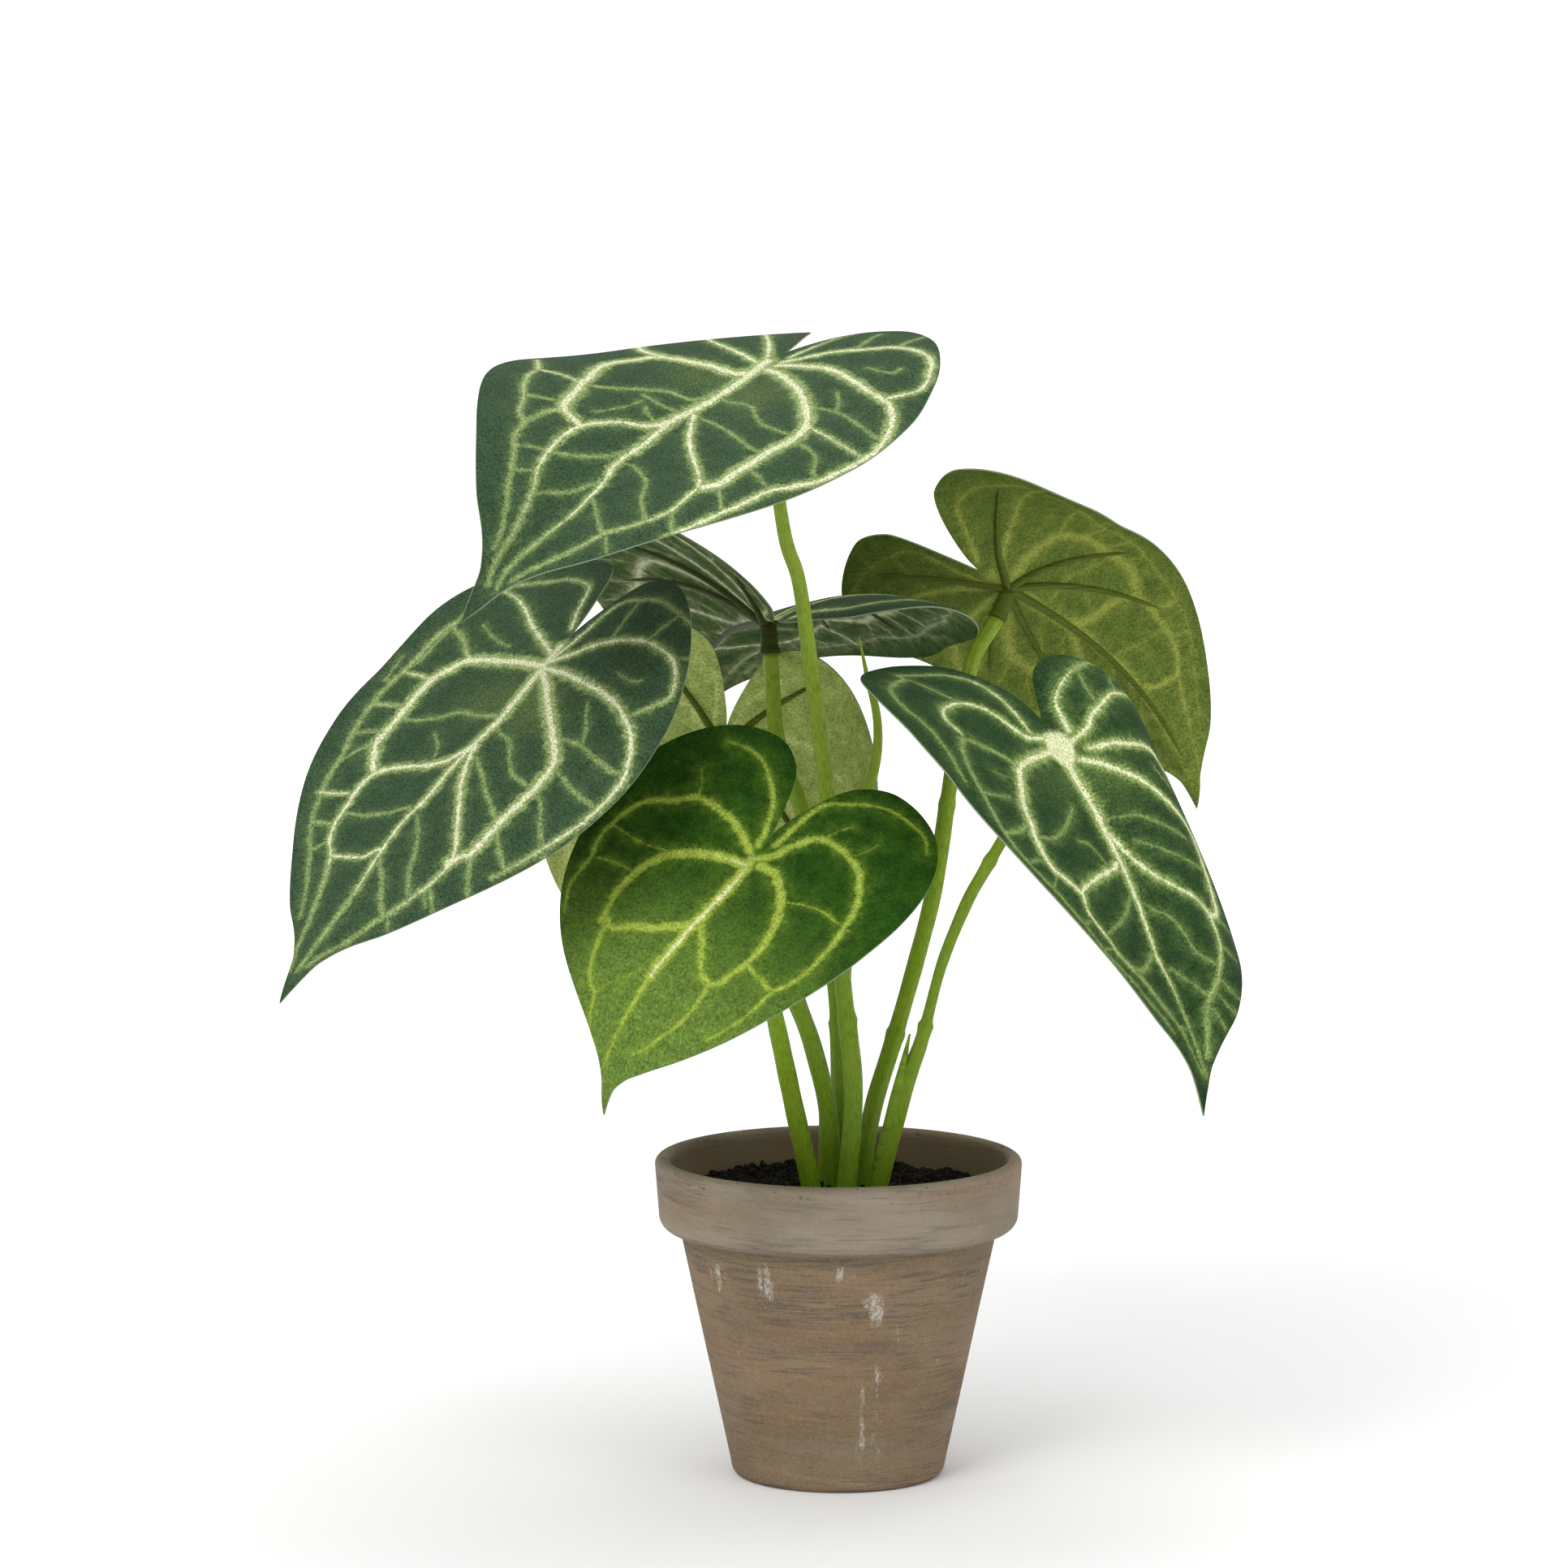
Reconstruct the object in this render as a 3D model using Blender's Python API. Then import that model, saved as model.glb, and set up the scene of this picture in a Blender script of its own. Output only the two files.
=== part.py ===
"""Potted caladium: seven moulded heart-shaped leaves and one rolled shoot in a clay pot.

Metres, +Z up. The pot stands on z = 0 with its axis on the Z axis, and the photo looks
along +Y. Every leaf is one flat outline, bent by one formula, so a leaf is a set of driving
values: where its stem joins it, which way it points and how it bends, folds and curls.
"""
import math
from dataclasses import dataclass

import bmesh
import bpy
import numpy as np
from mathutils import Vector

FIT_GAP = 0.0003          # clearance between two pieces that touch
TURN = 2 * math.pi

# Clay pot, a 12 cm pot by its rim
POT_HEIGHT = 0.105
POT_SIDES = 40
RIM_RADIUS = 0.060
BAND_FOOT_RADIUS = 0.0588
BAND_HEIGHT = 0.0235
BAND_ROUND = 0.0045
LIP_ROUND = 0.0022
NECK_RADIUS = 0.052
BASE_RADIUS = 0.035
BASE_ROUND = 0.003
MOUTH_RADIUS = 0.055
WELL_RADIUS = 0.029
POT_FLOOR = 0.007

# Soil
SOIL_TOP = 0.093
SOIL_ROUGHNESS = 0.0007
SOIL_WAVES = (310, 270, 170)   # radians a metre of the waves in the soil's top
SOIL_RINGS = 4
ROOT_DEPTH = 0.021        # how far a stem stands in the soil
ROOT_REACH = 0.020        # how far the cutter of a root hole runs on above the soil

# Blades
BLADE_THICKNESS = 0.0007
SPOKES = 22               # spokes on each side of the midrib
SPOKE_CROWDING = 0.4      # 0 spaces the spokes evenly, more crowds them at the tip and the sinus
SPOKE_SWEEP = math.radians(18)
RING_PLACES = (0.1, 0.27, 0.45, 0.63, 0.81, 1.0)
CURL_SPAN = 0.4           # share of the length over which the curl angle is reached

# Ribs moulded under each blade: spoke number, and the ring where the rib fades out
RIB_SPOKES = ((0, 5), (4, 5), (7, 5), (16, 5))
RIB_GAP = 0.0005
RIB_ROOT = (0.0015, 0.0021)   # half width and depth at the collar
RIB_END = (0.0006, 0.0007)
RIB_START = 0.015         # where a rib starts inside the collar, as a share of the spoke
RIB_FADE = 0.8            # under 1 the rib thins fastest near the collar
COLLAR_LENGTH = 0.010
COLLAR_RADIUS = 0.0029
COLLAR_TOP = 0.0025
COLLAR_LIP = 0.0033
COLLAR_PLACES = (0.0, 0.12, 0.8, 0.86, 1.0)

STEM_SIDES = 10
ROUTE_STEP = 0.016        # spacing of the rings along a stem
SHEATH_SIDES = 7
SHEATH_STEP = 0.009

# Leaf outlines: angle from the tip in degrees against radius as a share of the length
OUTLINE_ANGLES = (0, 2, 8.5, 18, 33, 51, 75, 100, 120, 137, 155, 166, 174, 180)
OUTLINES = {
    "long": (1.0, 0.885, 0.775, 0.655, 0.535, 0.437, 0.36, 0.325, 0.318, 0.322, 0.325, 0.29, 0.16,
             0.075),
    "heart": (1.0, 0.87, 0.78, 0.72, 0.66, 0.60, 0.54, 0.50, 0.48, 0.47, 0.44, 0.36, 0.18, 0.08),
}
LOBE_START, LOBE_FULL = math.radians(70), math.radians(135)


@dataclass
class Leaf:
    """Driving values of one leaf. Angles are in degrees.

    Right and left are as seen from above with the tip ahead. A positive dip points the tip
    down, a positive roll lowers the right side, a positive fold or curl lowers that side.
    """
    outline: str
    joint: tuple              # where the stem joins the blade
    heading: float            # of the tip, clockwise from +Y seen from above
    dip: float
    roll: float
    length: float             # from the joint to the tip
    width: float              # stretch across the midrib
    bend: tuple               # bend of the midrib at the tip: even part, part that grows
    lobe_bend: float          # bend of the midrib line behind the joint
    fold: tuple               # right and left, at the midrib
    curl: tuple               # right and left, added between the midrib and the margin
    twist: float
    fold_gain: float          # added to both folds towards the tip
    lobes: tuple              # lengthening of the right and left lobe


LEAVES = {
    1: Leaf("long", (-0.0249, -0.030, 0.3646), -140, 21.5, -15.5, 0.155, 1.28, (-8, 31), 70.5,
            (-2, -18), (29.5, 18.5), 32.5, -21, (0.05, -0.04)),
    2: Leaf("long", (-0.0939, -0.050, 0.2712), -134, 39, 8, 0.1465, 1.21, (-13.5, 26.5), 27,
            (-2, 5.5), (-21, 19.5), 16, 9, (0.24, -0.01)),
    3: Leaf("long", (-0.0231, 0.030, 0.2780), -13.5, 6, -4, 0.1525, 1.32, (2.5, 45), 43.5,
            (-27.5, -53), (66, 22.5), 0, 19, (0.26, -0.27)),
    4: Leaf("long", (0.0574, 0.088, 0.2835), 49.5, 25.5, -35, 0.1165, 1.10, (1.5, 95.5), -29.5,
            (-40, -12.5), (69.5, 27.5), 22.5, -6.5, (0.55, 0.43)),
    5: Leaf("heart", (-0.0275, -0.080, 0.2144), -133.5, 38, -29.5, 0.1035, 1.04, (-19, 105), 30.5,
            (-6.5, -9), (15.5, 2.5), -22.5, 7, (0.01, 0.15)),
    6: Leaf("long", (0.0693, -0.045, 0.2445), 141, 48, -1.5, 0.132, 1.36, (-15, 50.5), 97.5,
            (-3.5, -51.5), (-7, 117), 22, 4, (0.34, -0.22)),
    7: Leaf("heart", (-0.0382, 0.048, 0.2323), -25.5, 70.5, 15, 0.111, 1.06, (0, 5), 33.5,
            (5.5, -7.5), (44.5, 16.5), -1, 8, (-0.01, 0.06)),
}

# Stem routes from the soil up: where the stem stands, then points that it passes, and its
# radii spread evenly from the root to the collar. The stretch to the collar is added below.
STEMS = {
    1: (((0.0023, -0.008), (0.0044, -0.008, 0.1156), (0.0047, -0.008, 0.1316), (0.0033, -0.008, 0.1463),
         (0.0012, -0.008, 0.1650), (-0.0015, -0.010, 0.1985), (-0.0037, -0.014, 0.2269),
         (-0.0082, -0.021, 0.2606), (-0.0129, -0.027, 0.2951), (-0.0178, -0.029, 0.3122)),
        (0.0034, 0.0030, 0.0026, 0.0020)),
    2: (((-0.0016, 0.001), (-0.0035, -0.001, 0.1197), (-0.0072, -0.004, 0.1371), (-0.0133, -0.009, 0.1558),
         (-0.0272, -0.020, 0.1841), (-0.0531, -0.033, 0.2200), (-0.0762, -0.041, 0.2471)),
        (0.0032, 0.0027, 0.0025)),
    3: (((0.0014, 0.0095), (0.0003, 0.011, 0.1257), (-0.0005, 0.013, 0.1497), (-0.0040, 0.016, 0.1816),
         (-0.0119, 0.020, 0.2159), (-0.0159, 0.022, 0.2264), (-0.0202, 0.024, 0.2409),
         (-0.0215, 0.027, 0.2553)), (0.0030, 0.0026, 0.0025)),
    4: (((0.0072, 0.001), (0.0112, 0.005, 0.1187), (0.0187, 0.014, 0.1425), (0.0261, 0.026, 0.1666),
         (0.0322, 0.040, 0.1890), (0.0374, 0.057, 0.2194), (0.0446, 0.076, 0.2569)),
        (0.0031, 0.0029, 0.0028)),
    5: (((-0.0085, -0.004), (-0.0154, -0.012, 0.1270), (-0.0207, -0.026, 0.1551), (-0.0245, -0.042, 0.1767)),
        (0.0034, 0.0030, 0.0025)),
    6: (((0.0124, -0.006), (0.0184, -0.008, 0.1169), (0.0234, -0.010, 0.1346), (0.0272, -0.012, 0.1462),
         (0.0331, -0.016, 0.1702), (0.0408, -0.022, 0.1909), (0.0464, -0.026, 0.2021),
         (0.0560, -0.033, 0.2200)), (0.0036, 0.0030, 0.0021, 0.0021, 0.0024)),
    7: (((-0.0041, 0.017), (-0.0036, 0.017, 0.1166), (-0.0071, 0.017, 0.1356), (-0.0130, 0.019, 0.1528),
         (-0.0247, 0.025, 0.1884), (-0.0333, 0.032, 0.2117)), (0.0030, 0.0026, 0.0024)),
}

# The old leaf sheath that stands against the lower part of stem 6 and ends in a point
SHEATH_ROUTE = ((0.0137, -0.0070, 0.1020), (0.0179, -0.0090, 0.1211), (0.0202, -0.0110, 0.1335),
                (0.0230, -0.0125, 0.1473))
SHEATH_RADII = (0.0026, 0.0021, 0.0003)

SHOOT_ROUTE = ((0.0034, 0.018), (0.0033, 0.018, 0.1164), (0.0036, 0.018, 0.1408), (0.0025, 0.017, 0.1612),
               (0.0061, 0.014, 0.1953), (0.0098, 0.010, 0.2212), (0.0126, 0.007, 0.2376),
               (0.0123, 0.004, 0.2499), (0.0093, 0.001, 0.2621), (0.0064, -0.003, 0.2763))
SHOOT_RADII = (0.0026, 0.0024, 0.0022, 0.0020, 0.0018, 0.0017, 0.0017, 0.0014, 0.0002)


def clear_scene():
    for obj in list(bpy.data.objects):
        bpy.data.objects.remove(obj, do_unlink=True)


def material(name, colour, roughness):
    """A plain Principled material."""
    mat = bpy.data.materials.new(name)
    mat.use_nodes = True
    shader = mat.node_tree.nodes["Principled BSDF"]
    shader.inputs["Base Color"].default_value = (*colour, 1.0)
    shader.inputs["Roughness"].default_value = roughness
    shader.inputs["Metallic"].default_value = 0.0
    mat.diffuse_color = (*colour, 1.0)
    return mat


def finish(name, bm, mat):
    """Turn a bmesh into a smooth-shaded object with its faces outward."""
    bmesh.ops.remove_doubles(bm, verts=bm.verts, dist=0.00001)
    bmesh.ops.recalc_face_normals(bm, faces=bm.faces)
    mesh = bpy.data.meshes.new(name)
    bm.to_mesh(mesh)
    bm.free()
    mesh.shade_smooth()
    mesh.set_sharp_from_angle(angle=math.radians(50))
    obj = bpy.data.objects.new(name, mesh)
    bpy.context.scene.collection.objects.link(obj)
    obj.data.materials.append(mat)
    return obj


def apply_modifiers(obj):
    """Replace the object's mesh by its evaluated mesh."""
    graph = bpy.context.evaluated_depsgraph_get()
    mesh = bpy.data.meshes.new_from_object(obj.evaluated_get(graph))
    obj.modifiers.clear()
    obj.data = mesh


def combine(obj, tool, operation):
    """Boolean of an object with a tool object, which is then removed."""
    step = obj.modifiers.new(operation.title(), "BOOLEAN")
    step.operation, step.object, step.solver = operation, tool, "EXACT"
    step.use_self = operation == "UNION"
    apply_modifiers(obj)
    bpy.data.objects.remove(tool, do_unlink=True)


def smooth_between(x, start, end):
    """0 before start, 1 after end, with a smooth rise between."""
    t = np.clip((x - start) / (end - start), 0, 1)
    return t * t * (3 - 2 * t)


def curve_through(knots, values, x):
    """Monotone cubic curve through the knots (Fritsch and Carlson), read at x."""
    knots, values = np.asarray(knots, float), np.asarray(values, float)
    gap = np.diff(knots)
    rise = np.diff(values) / gap
    slope = np.concatenate([rise[:1], np.zeros(len(rise) - 1), rise[-1:]])
    before, after = 2 * gap[1:] + gap[:-1], gap[1:] + 2 * gap[:-1]
    turning = rise[:-1] * rise[1:] <= 0
    low, high = np.where(turning, 1, rise[:-1]), np.where(turning, 1, rise[1:])
    slope[1:-1] = np.where(turning, 0.0, (before + after) / (before / low + after / high))
    i = np.clip(np.searchsorted(knots, x, side="right") - 1, 0, len(gap) - 1)
    t = (x - knots[i]) / gap[i]
    return ((2 * t**3 - 3 * t**2 + 1) * values[i] + (t**3 - 2 * t**2 + t) * gap[i] * slope[i]
            + (3 * t**2 - 2 * t**3) * values[i + 1] + (t**3 - t**2) * gap[i] * slope[i + 1])


def outline_radius(leaf, theta):
    """Distance from the joint to the margin at an angle from the tip, right side positive."""
    angle = np.abs(theta)
    share = curve_through(np.radians(OUTLINE_ANGLES), OUTLINES[leaf.outline], angle)
    lobe = np.where(theta > 0, leaf.lobes[0], leaf.lobes[1])
    return leaf.length * share * (1 + lobe * smooth_between(angle, LOBE_START, LOBE_FULL))


def spoke_angle(number, rho):
    """Angle of a spoke at a share of the radius. Spokes sweep towards the tip like veins."""
    share = np.asarray(number) / SPOKES
    end = np.pi * share - SPOKE_CROWDING / 2 * np.sin(TURN * share)
    return end + SPOKE_SWEEP * np.sin(end) * (1 - rho) ** 2


def flat_point(leaf, number, rho):
    """Flat leaf coordinates: x across to the right, y from the joint towards the tip."""
    theta = spoke_angle(number, rho)
    radius = rho * outline_radius(leaf, theta)
    return radius * np.sin(theta) * leaf.width, radius * np.cos(theta)


def leaf_axes(leaf):
    """Unit vectors at the joint: towards the tip, to the right, and out of the upper face."""
    heading, dip, roll = (math.radians(a) for a in (leaf.heading, leaf.dip, leaf.roll))
    ahead = np.array([math.sin(heading) * math.cos(dip), math.cos(heading) * math.cos(dip), -math.sin(dip)])
    level = np.cross(ahead, (0.0, 0.0, 1.0))
    level /= np.linalg.norm(level)
    across = level * math.cos(roll) + np.cross(ahead, level) * math.sin(roll)
    return ahead, across, np.cross(across, ahead)


def bent(leaf, x, y):
    """Points of the bent leaf for flat coordinates x and y.

    The midrib is a plane curve whose bend angle is e*s + g*s^2 with s = y / length. Across it
    each side is an arc that starts at the fold angle and gains the curl angle, and the whole
    cross-section turns about the midrib by twist*s.
    """
    x, y = np.asarray(x, float), np.asarray(y, float)
    ahead, across, up = leaf_axes(leaf)
    table = np.linspace(-0.6, 1.05, 661) * leaf.length
    s = table / leaf.length
    even, grows = np.radians(leaf.bend)
    angle = np.where(s >= 0, even * s + grows * s * s, math.radians(leaf.lobe_bend) * s)
    step = table[1] - table[0]
    run = np.concatenate([[0], np.cumsum((np.cos(angle[1:]) + np.cos(angle[:-1])) / 2 * step)])
    drop = np.concatenate([[0], np.cumsum((np.sin(angle[1:]) + np.sin(angle[:-1])) / 2 * step)])
    run -= np.interp(0, table, run)
    drop -= np.interp(0, table, drop)
    midrib = (np.interp(y, table, run)[..., None] * ahead
              - np.interp(y, table, drop)[..., None] * up)
    bend = np.interp(y, table, angle)[..., None]
    turn = (math.radians(leaf.twist) * y / leaf.length)[..., None]
    normal = np.cos(bend) * up + np.sin(bend) * ahead
    side = across * np.cos(turn) + normal * np.sin(turn)
    normal = normal * np.cos(turn) - across * np.sin(turn)
    right = x > 0
    fold = np.where(right, *np.radians(leaf.fold)) + math.radians(leaf.fold_gain) * y / leaf.length
    curl = np.where(right, *np.radians(leaf.curl)) / (CURL_SPAN * leaf.length)
    curl = np.where(np.abs(curl) < 1e-3, 1e-3, curl)
    reach = np.abs(x)
    out = np.sign(x) * (np.sin(fold + curl * reach) - np.sin(fold)) / curl
    rise = (np.cos(fold + curl * reach) - np.cos(fold)) / curl
    return np.array(leaf.joint) + midrib + out[..., None] * side + rise[..., None] * normal


def face_normal(leaf, x, y):
    """Unit normal of the upper face, averaged over both sides on the midrib."""
    step = 0.0008
    gain_x = bent(leaf, x + step, y) - bent(leaf, x - step, y)
    gain_y = bent(leaf, x, y + step) - bent(leaf, x, y - step)
    normal = np.cross(gain_x, gain_y)
    return normal / np.linalg.norm(normal, axis=-1, keepdims=True)


def make_blade(number, leaf, mat):
    """A blade: rings and spokes round the joint, in triangles, then thickened."""
    spokes = np.arange(-SPOKES + 1, SPOKES + 1)
    x, y = flat_point(leaf, spokes[None, :], np.array(RING_PLACES)[:, None])
    x[:, np.isin(spokes, (0, SPOKES))] = 0.0
    rings = bent(leaf, x, y)
    bm = bmesh.new()
    hub = bm.verts.new(bent(leaf, np.zeros(1), np.zeros(1))[0])
    grid = [[bm.verts.new(p) for p in ring] for ring in rings]
    count = len(spokes)
    for j in range(count):
        k = (j + 1) % count
        bm.faces.new((hub, grid[0][k], grid[0][j]))
        for inner, outer in zip(grid, grid[1:]):
            if spokes[j] < 0:
                bm.faces.new((inner[j], inner[k], outer[j]))
                bm.faces.new((inner[k], outer[k], outer[j]))
            else:
                bm.faces.new((inner[j], inner[k], outer[k]))
                bm.faces.new((inner[j], outer[k], outer[j]))
    blade = finish(f"leaf_{number}", bm, mat)
    thick = blade.modifiers.new("Thickness", "SOLIDIFY")
    thick.thickness, thick.offset = BLADE_THICKNESS, 0.0
    apply_modifiers(blade)
    return blade


def along(route, radii, step=ROUTE_STEP):
    """Evenly spaced points and radii on a Catmull-Rom curve through the route."""
    route = np.array(route)
    ends = np.vstack([2 * route[0] - route[1], route, 2 * route[-1] - route[-2]])
    dense = []
    for a, b, c, d in zip(ends, ends[1:], ends[2:], ends[3:]):
        t = np.linspace(0, 1, 12, endpoint=False)[:, None]
        dense.append(0.5 * (2 * b + (c - a) * t + (2 * a - 5 * b + 4 * c - d) * t**2
                            + (3 * b - a - 3 * c + d) * t**3))
    dense = np.vstack(dense + [route[-1:]])
    length = np.concatenate([[0], np.cumsum(np.linalg.norm(np.diff(dense, axis=0), axis=1))])
    places = np.linspace(0, length[-1], max(3, round(length[-1] / step) + 1))
    points = np.stack([np.interp(places, length, dense[:, i]) for i in range(3)], axis=1)
    return points, np.interp(places / length[-1], np.linspace(0, 1, len(radii)), radii)


def sweep(bm, points, radii, sides=STEM_SIDES, heading=None):
    """A round tube with closed ends, its frame carried along without twist.

    The last end faces the heading, or runs on straight where none is given.
    """
    points = [Vector(p) for p in points]
    pairs = zip([points[0]] + points[:-1], points[1:] + [points[-1]])
    tangents = [(b - a).normalized() for a, b in pairs]
    if heading is not None:
        tangents[-1] = Vector(heading).normalized()
    side = tangents[0].orthogonal().normalized()
    rings = []
    for point, tangent, radius in zip(points, tangents, radii):
        side = (side - tangent * side.dot(tangent)).normalized()
        other = tangent.cross(side)
        turns = [TURN * i / sides for i in range(sides)]
        spread = [side * math.cos(t) + other * math.sin(t) for t in turns]
        rings.append([bm.verts.new(point + spoke * float(radius)) for spoke in spread])
    for low, high in zip(rings, rings[1:]):
        for i in range(sides):
            k = (i + 1) % sides
            bm.faces.new((low[i], low[k], high[k], high[i]))
    bm.faces.new(list(reversed(rings[0])))
    bm.faces.new(rings[-1])


def collar_line(leaf, below):
    """Top and foot of the collar: from under the joint straight towards the stem below it."""
    normal = face_normal(leaf, np.zeros(1), np.zeros(1))[0]
    away = np.array(below) - np.array(leaf.joint)
    away /= np.linalg.norm(away)
    tilt = math.sqrt(max(0.0, 1 - float(away @ normal) ** 2))
    depth = BLADE_THICKNESS / 2 + RIB_GAP + COLLAR_RADIUS * tilt
    top = np.array(leaf.joint) - depth * normal
    return top, top + COLLAR_LENGTH * away, away


def make_rib(bm, leaf, number, last_ring):
    """One rib under a spoke, three-sided, from inside the collar to where it fades out."""
    rho = np.array((RIB_START,) + RING_PLACES[:last_ring])
    x, y = flat_point(leaf, np.full(len(rho), number), rho)
    if number == 0:
        x[:] = 0.0
    path, normal = bent(leaf, x, y), face_normal(leaf, x, y)
    ahead = np.gradient(path, axis=0)
    across = np.cross(ahead, normal)
    across /= np.linalg.norm(across, axis=1, keepdims=True)
    fade = np.linspace(0, 1, len(rho))[:, None] ** RIB_FADE
    width, depth = (root + (end - root) * fade for root, end in zip(RIB_ROOT, RIB_END))
    top = path - normal * (BLADE_THICKNESS / 2 + RIB_GAP)
    corners = np.stack([top + across * width, top - across * width, top - normal * depth], axis=1)
    rings = [[bm.verts.new(p) for p in ring] for ring in corners]
    for low, high in zip(rings, rings[1:]):
        for i in range(3):
            k = (i + 1) % 3
            bm.faces.new((low[i], low[k], high[k], high[i]))
    bm.faces.new(list(reversed(rings[0])))
    bm.faces.new(rings[-1])


def make_ribs(number, leaf, below, mat):
    """The rib frame of a leaf: a collar for the stem with seven ribs grown into it."""
    top, foot, away = collar_line(leaf, below)
    bm = bmesh.new()
    places = np.array(COLLAR_PLACES)[:, None] * COLLAR_LENGTH
    radii = (COLLAR_TOP, COLLAR_RADIUS, COLLAR_RADIUS, COLLAR_LIP, COLLAR_LIP)
    sweep(bm, top + places * away, radii)
    frame = finish(f"ribs_{number}", bm, mat)
    for spoke, last_ring in RIB_SPOKES:
        for signed in {spoke, -spoke}:
            rib = bmesh.new()
            make_rib(rib, leaf, signed, last_ring)
            combine(frame, finish("rib_tool", rib, mat), "UNION")
    return frame


def stem_route(route):
    """A route with its root: straight down into the soil from the first point."""
    x, y = route[0][:2]
    root = tuple((x, y, SOIL_TOP - depth) for depth in (ROOT_DEPTH, ROOT_DEPTH / 2, 0.0))
    return root + tuple(route[1:])


def make_stem(name, route, radii, mat, heading=None):
    bm = bmesh.new()
    sweep(bm, *along(stem_route(route), radii), heading=heading)
    return finish(name, bm, mat)


def root_hole(route, radii):
    """Cutter for the plain hole that a stem stands in."""
    points, sizes = along(stem_route(route), radii)
    keep = points[:, 2] < SOIL_TOP + ROOT_REACH
    points, sizes = points[keep], sizes[keep]
    points[0, 2] -= FIT_GAP
    bm = bmesh.new()
    sweep(bm, points, sizes + FIT_GAP / math.cos(math.pi / STEM_SIDES))
    return finish("hole_tool", bm, None)


def spin_profile(name, profile, sides, mat):
    """Spin a closed or axis-to-axis profile of (radius, height) points round the Z axis."""
    bm = bmesh.new()
    verts = [bm.verts.new((r, 0.0, z)) for r, z in profile]
    edges = [bm.edges.new(pair) for pair in zip(verts, verts[1:])]
    bmesh.ops.spin(bm, geom=verts + edges, cent=(0, 0, 0), axis=(0, 0, 1), angle=TURN, steps=sides,
                   use_duplicate=False)
    bmesh.ops.remove_doubles(bm, verts=bm.verts, dist=0.00005)
    return finish(name, bm, mat)


def arc(centre, radius, start, end, steps):
    """Points on an arc in the profile plane, angles in degrees."""
    angles = np.radians(np.linspace(start, end, steps))
    return [(centre[0] + radius * math.cos(a), centre[1] + radius * math.sin(a)) for a in angles]


def inner_radius(height):
    """Radius of the pot's inner wall at a height."""
    return WELL_RADIUS + (MOUTH_RADIUS - WELL_RADIUS) * (height - POT_FLOOR) / (POT_HEIGHT - POT_FLOOR)


def make_pot(mat):
    band_foot = POT_HEIGHT - BAND_HEIGHT
    profile = [(0.0, 0.0)]
    profile += arc((BASE_RADIUS - BASE_ROUND, BASE_ROUND), BASE_ROUND, -90, -8, 4)
    profile += [(NECK_RADIUS, band_foot)]
    profile += arc((BAND_FOOT_RADIUS - BAND_ROUND, band_foot + BAND_ROUND), BAND_ROUND, -90, 0, 5)
    profile += arc((RIM_RADIUS - LIP_ROUND, POT_HEIGHT - LIP_ROUND), LIP_ROUND, 0, 90, 4)
    profile += arc((MOUTH_RADIUS + LIP_ROUND, POT_HEIGHT - LIP_ROUND), LIP_ROUND, 90, 180, 4)
    profile += [(inner_radius(SOIL_TOP), SOIL_TOP), (WELL_RADIUS, POT_FLOOR), (0.0, POT_FLOOR)]
    return spin_profile("pot", profile, POT_SIDES, mat)


def make_soil(mat):
    """The soil fills the pot, with a slightly rough top and a hole for each stem."""
    edge = inner_radius(SOIL_TOP) - FIT_GAP
    foot = POT_FLOOR + FIT_GAP
    profile = [(0.0, foot), (inner_radius(foot) - 2 * FIT_GAP, foot), (edge, SOIL_TOP)]
    profile += [(edge * (1 - i / SOIL_RINGS), SOIL_TOP) for i in range(1, SOIL_RINGS + 1)]
    soil = spin_profile("soil", profile, POT_SIDES, mat)
    wave_a, wave_b, wave_c = SOIL_WAVES
    for vert in soil.data.vertices:
        x, y, z = vert.co
        if z > SOIL_TOP - 0.001 and math.hypot(x, y) < edge - 0.002:
            wave = math.sin(wave_a * x + 1.3) * math.cos(wave_b * y) + math.sin(wave_c * (x - y))
            vert.co.z += SOIL_ROUGHNESS * wave
    for route, radii in [STEMS[n] for n in sorted(STEMS)] + [(SHOOT_ROUTE, SHOOT_RADII)]:
        combine(soil, root_hole(route, radii), "DIFFERENCE")
    return soil


def make_sheath(stem, mat):
    """The pointed sheath, grown into the lower part of its stem."""
    bm = bmesh.new()
    sweep(bm, *along(SHEATH_ROUTE, SHEATH_RADII, SHEATH_STEP), SHEATH_SIDES)
    combine(stem, finish("sheath_tool", bm, mat), "UNION")


def main():
    clear_scene()
    clay = material("clay", (0.27, 0.21, 0.16), 0.9)
    earth = material("earth", (0.02, 0.016, 0.012), 0.95)
    printed = material("leaf_dark", (0.07, 0.13, 0.07), 0.6)
    fresh = material("leaf_fresh", (0.12, 0.24, 0.06), 0.6)
    rib = material("rib_green", (0.10, 0.14, 0.04), 0.5)
    green = material("stem_green", (0.16, 0.28, 0.05), 0.45)
    make_pot(clay)
    make_soil(earth)
    for number, leaf in LEAVES.items():
        route, radii = STEMS[number]
        make_blade(number, leaf, fresh if leaf.outline == "heart" else printed)
        make_ribs(number, leaf, route[-1], rib)
        top, foot, away = collar_line(leaf, route[-1])
        stem = make_stem(f"stem_{number}", route + (tuple(foot + FIT_GAP * away),), radii, green, -away)
        if number == 6:
            make_sheath(stem, green)
    make_stem("shoot", SHOOT_ROUTE, SHOOT_RADII, green)


main()
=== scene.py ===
# %% [markdown]
# A potted caladium for a shelf or a table
# This is a decorative plant: printed fabric leaves on moulded ribs and stems, in a clay pot.
# The solids of the plant are already measured and packed, so the notebook starts by loading
# them. Each step then makes the fine surface of one kind of piece at the same place.

# %% Load the frame
import math
from dataclasses import dataclass

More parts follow.
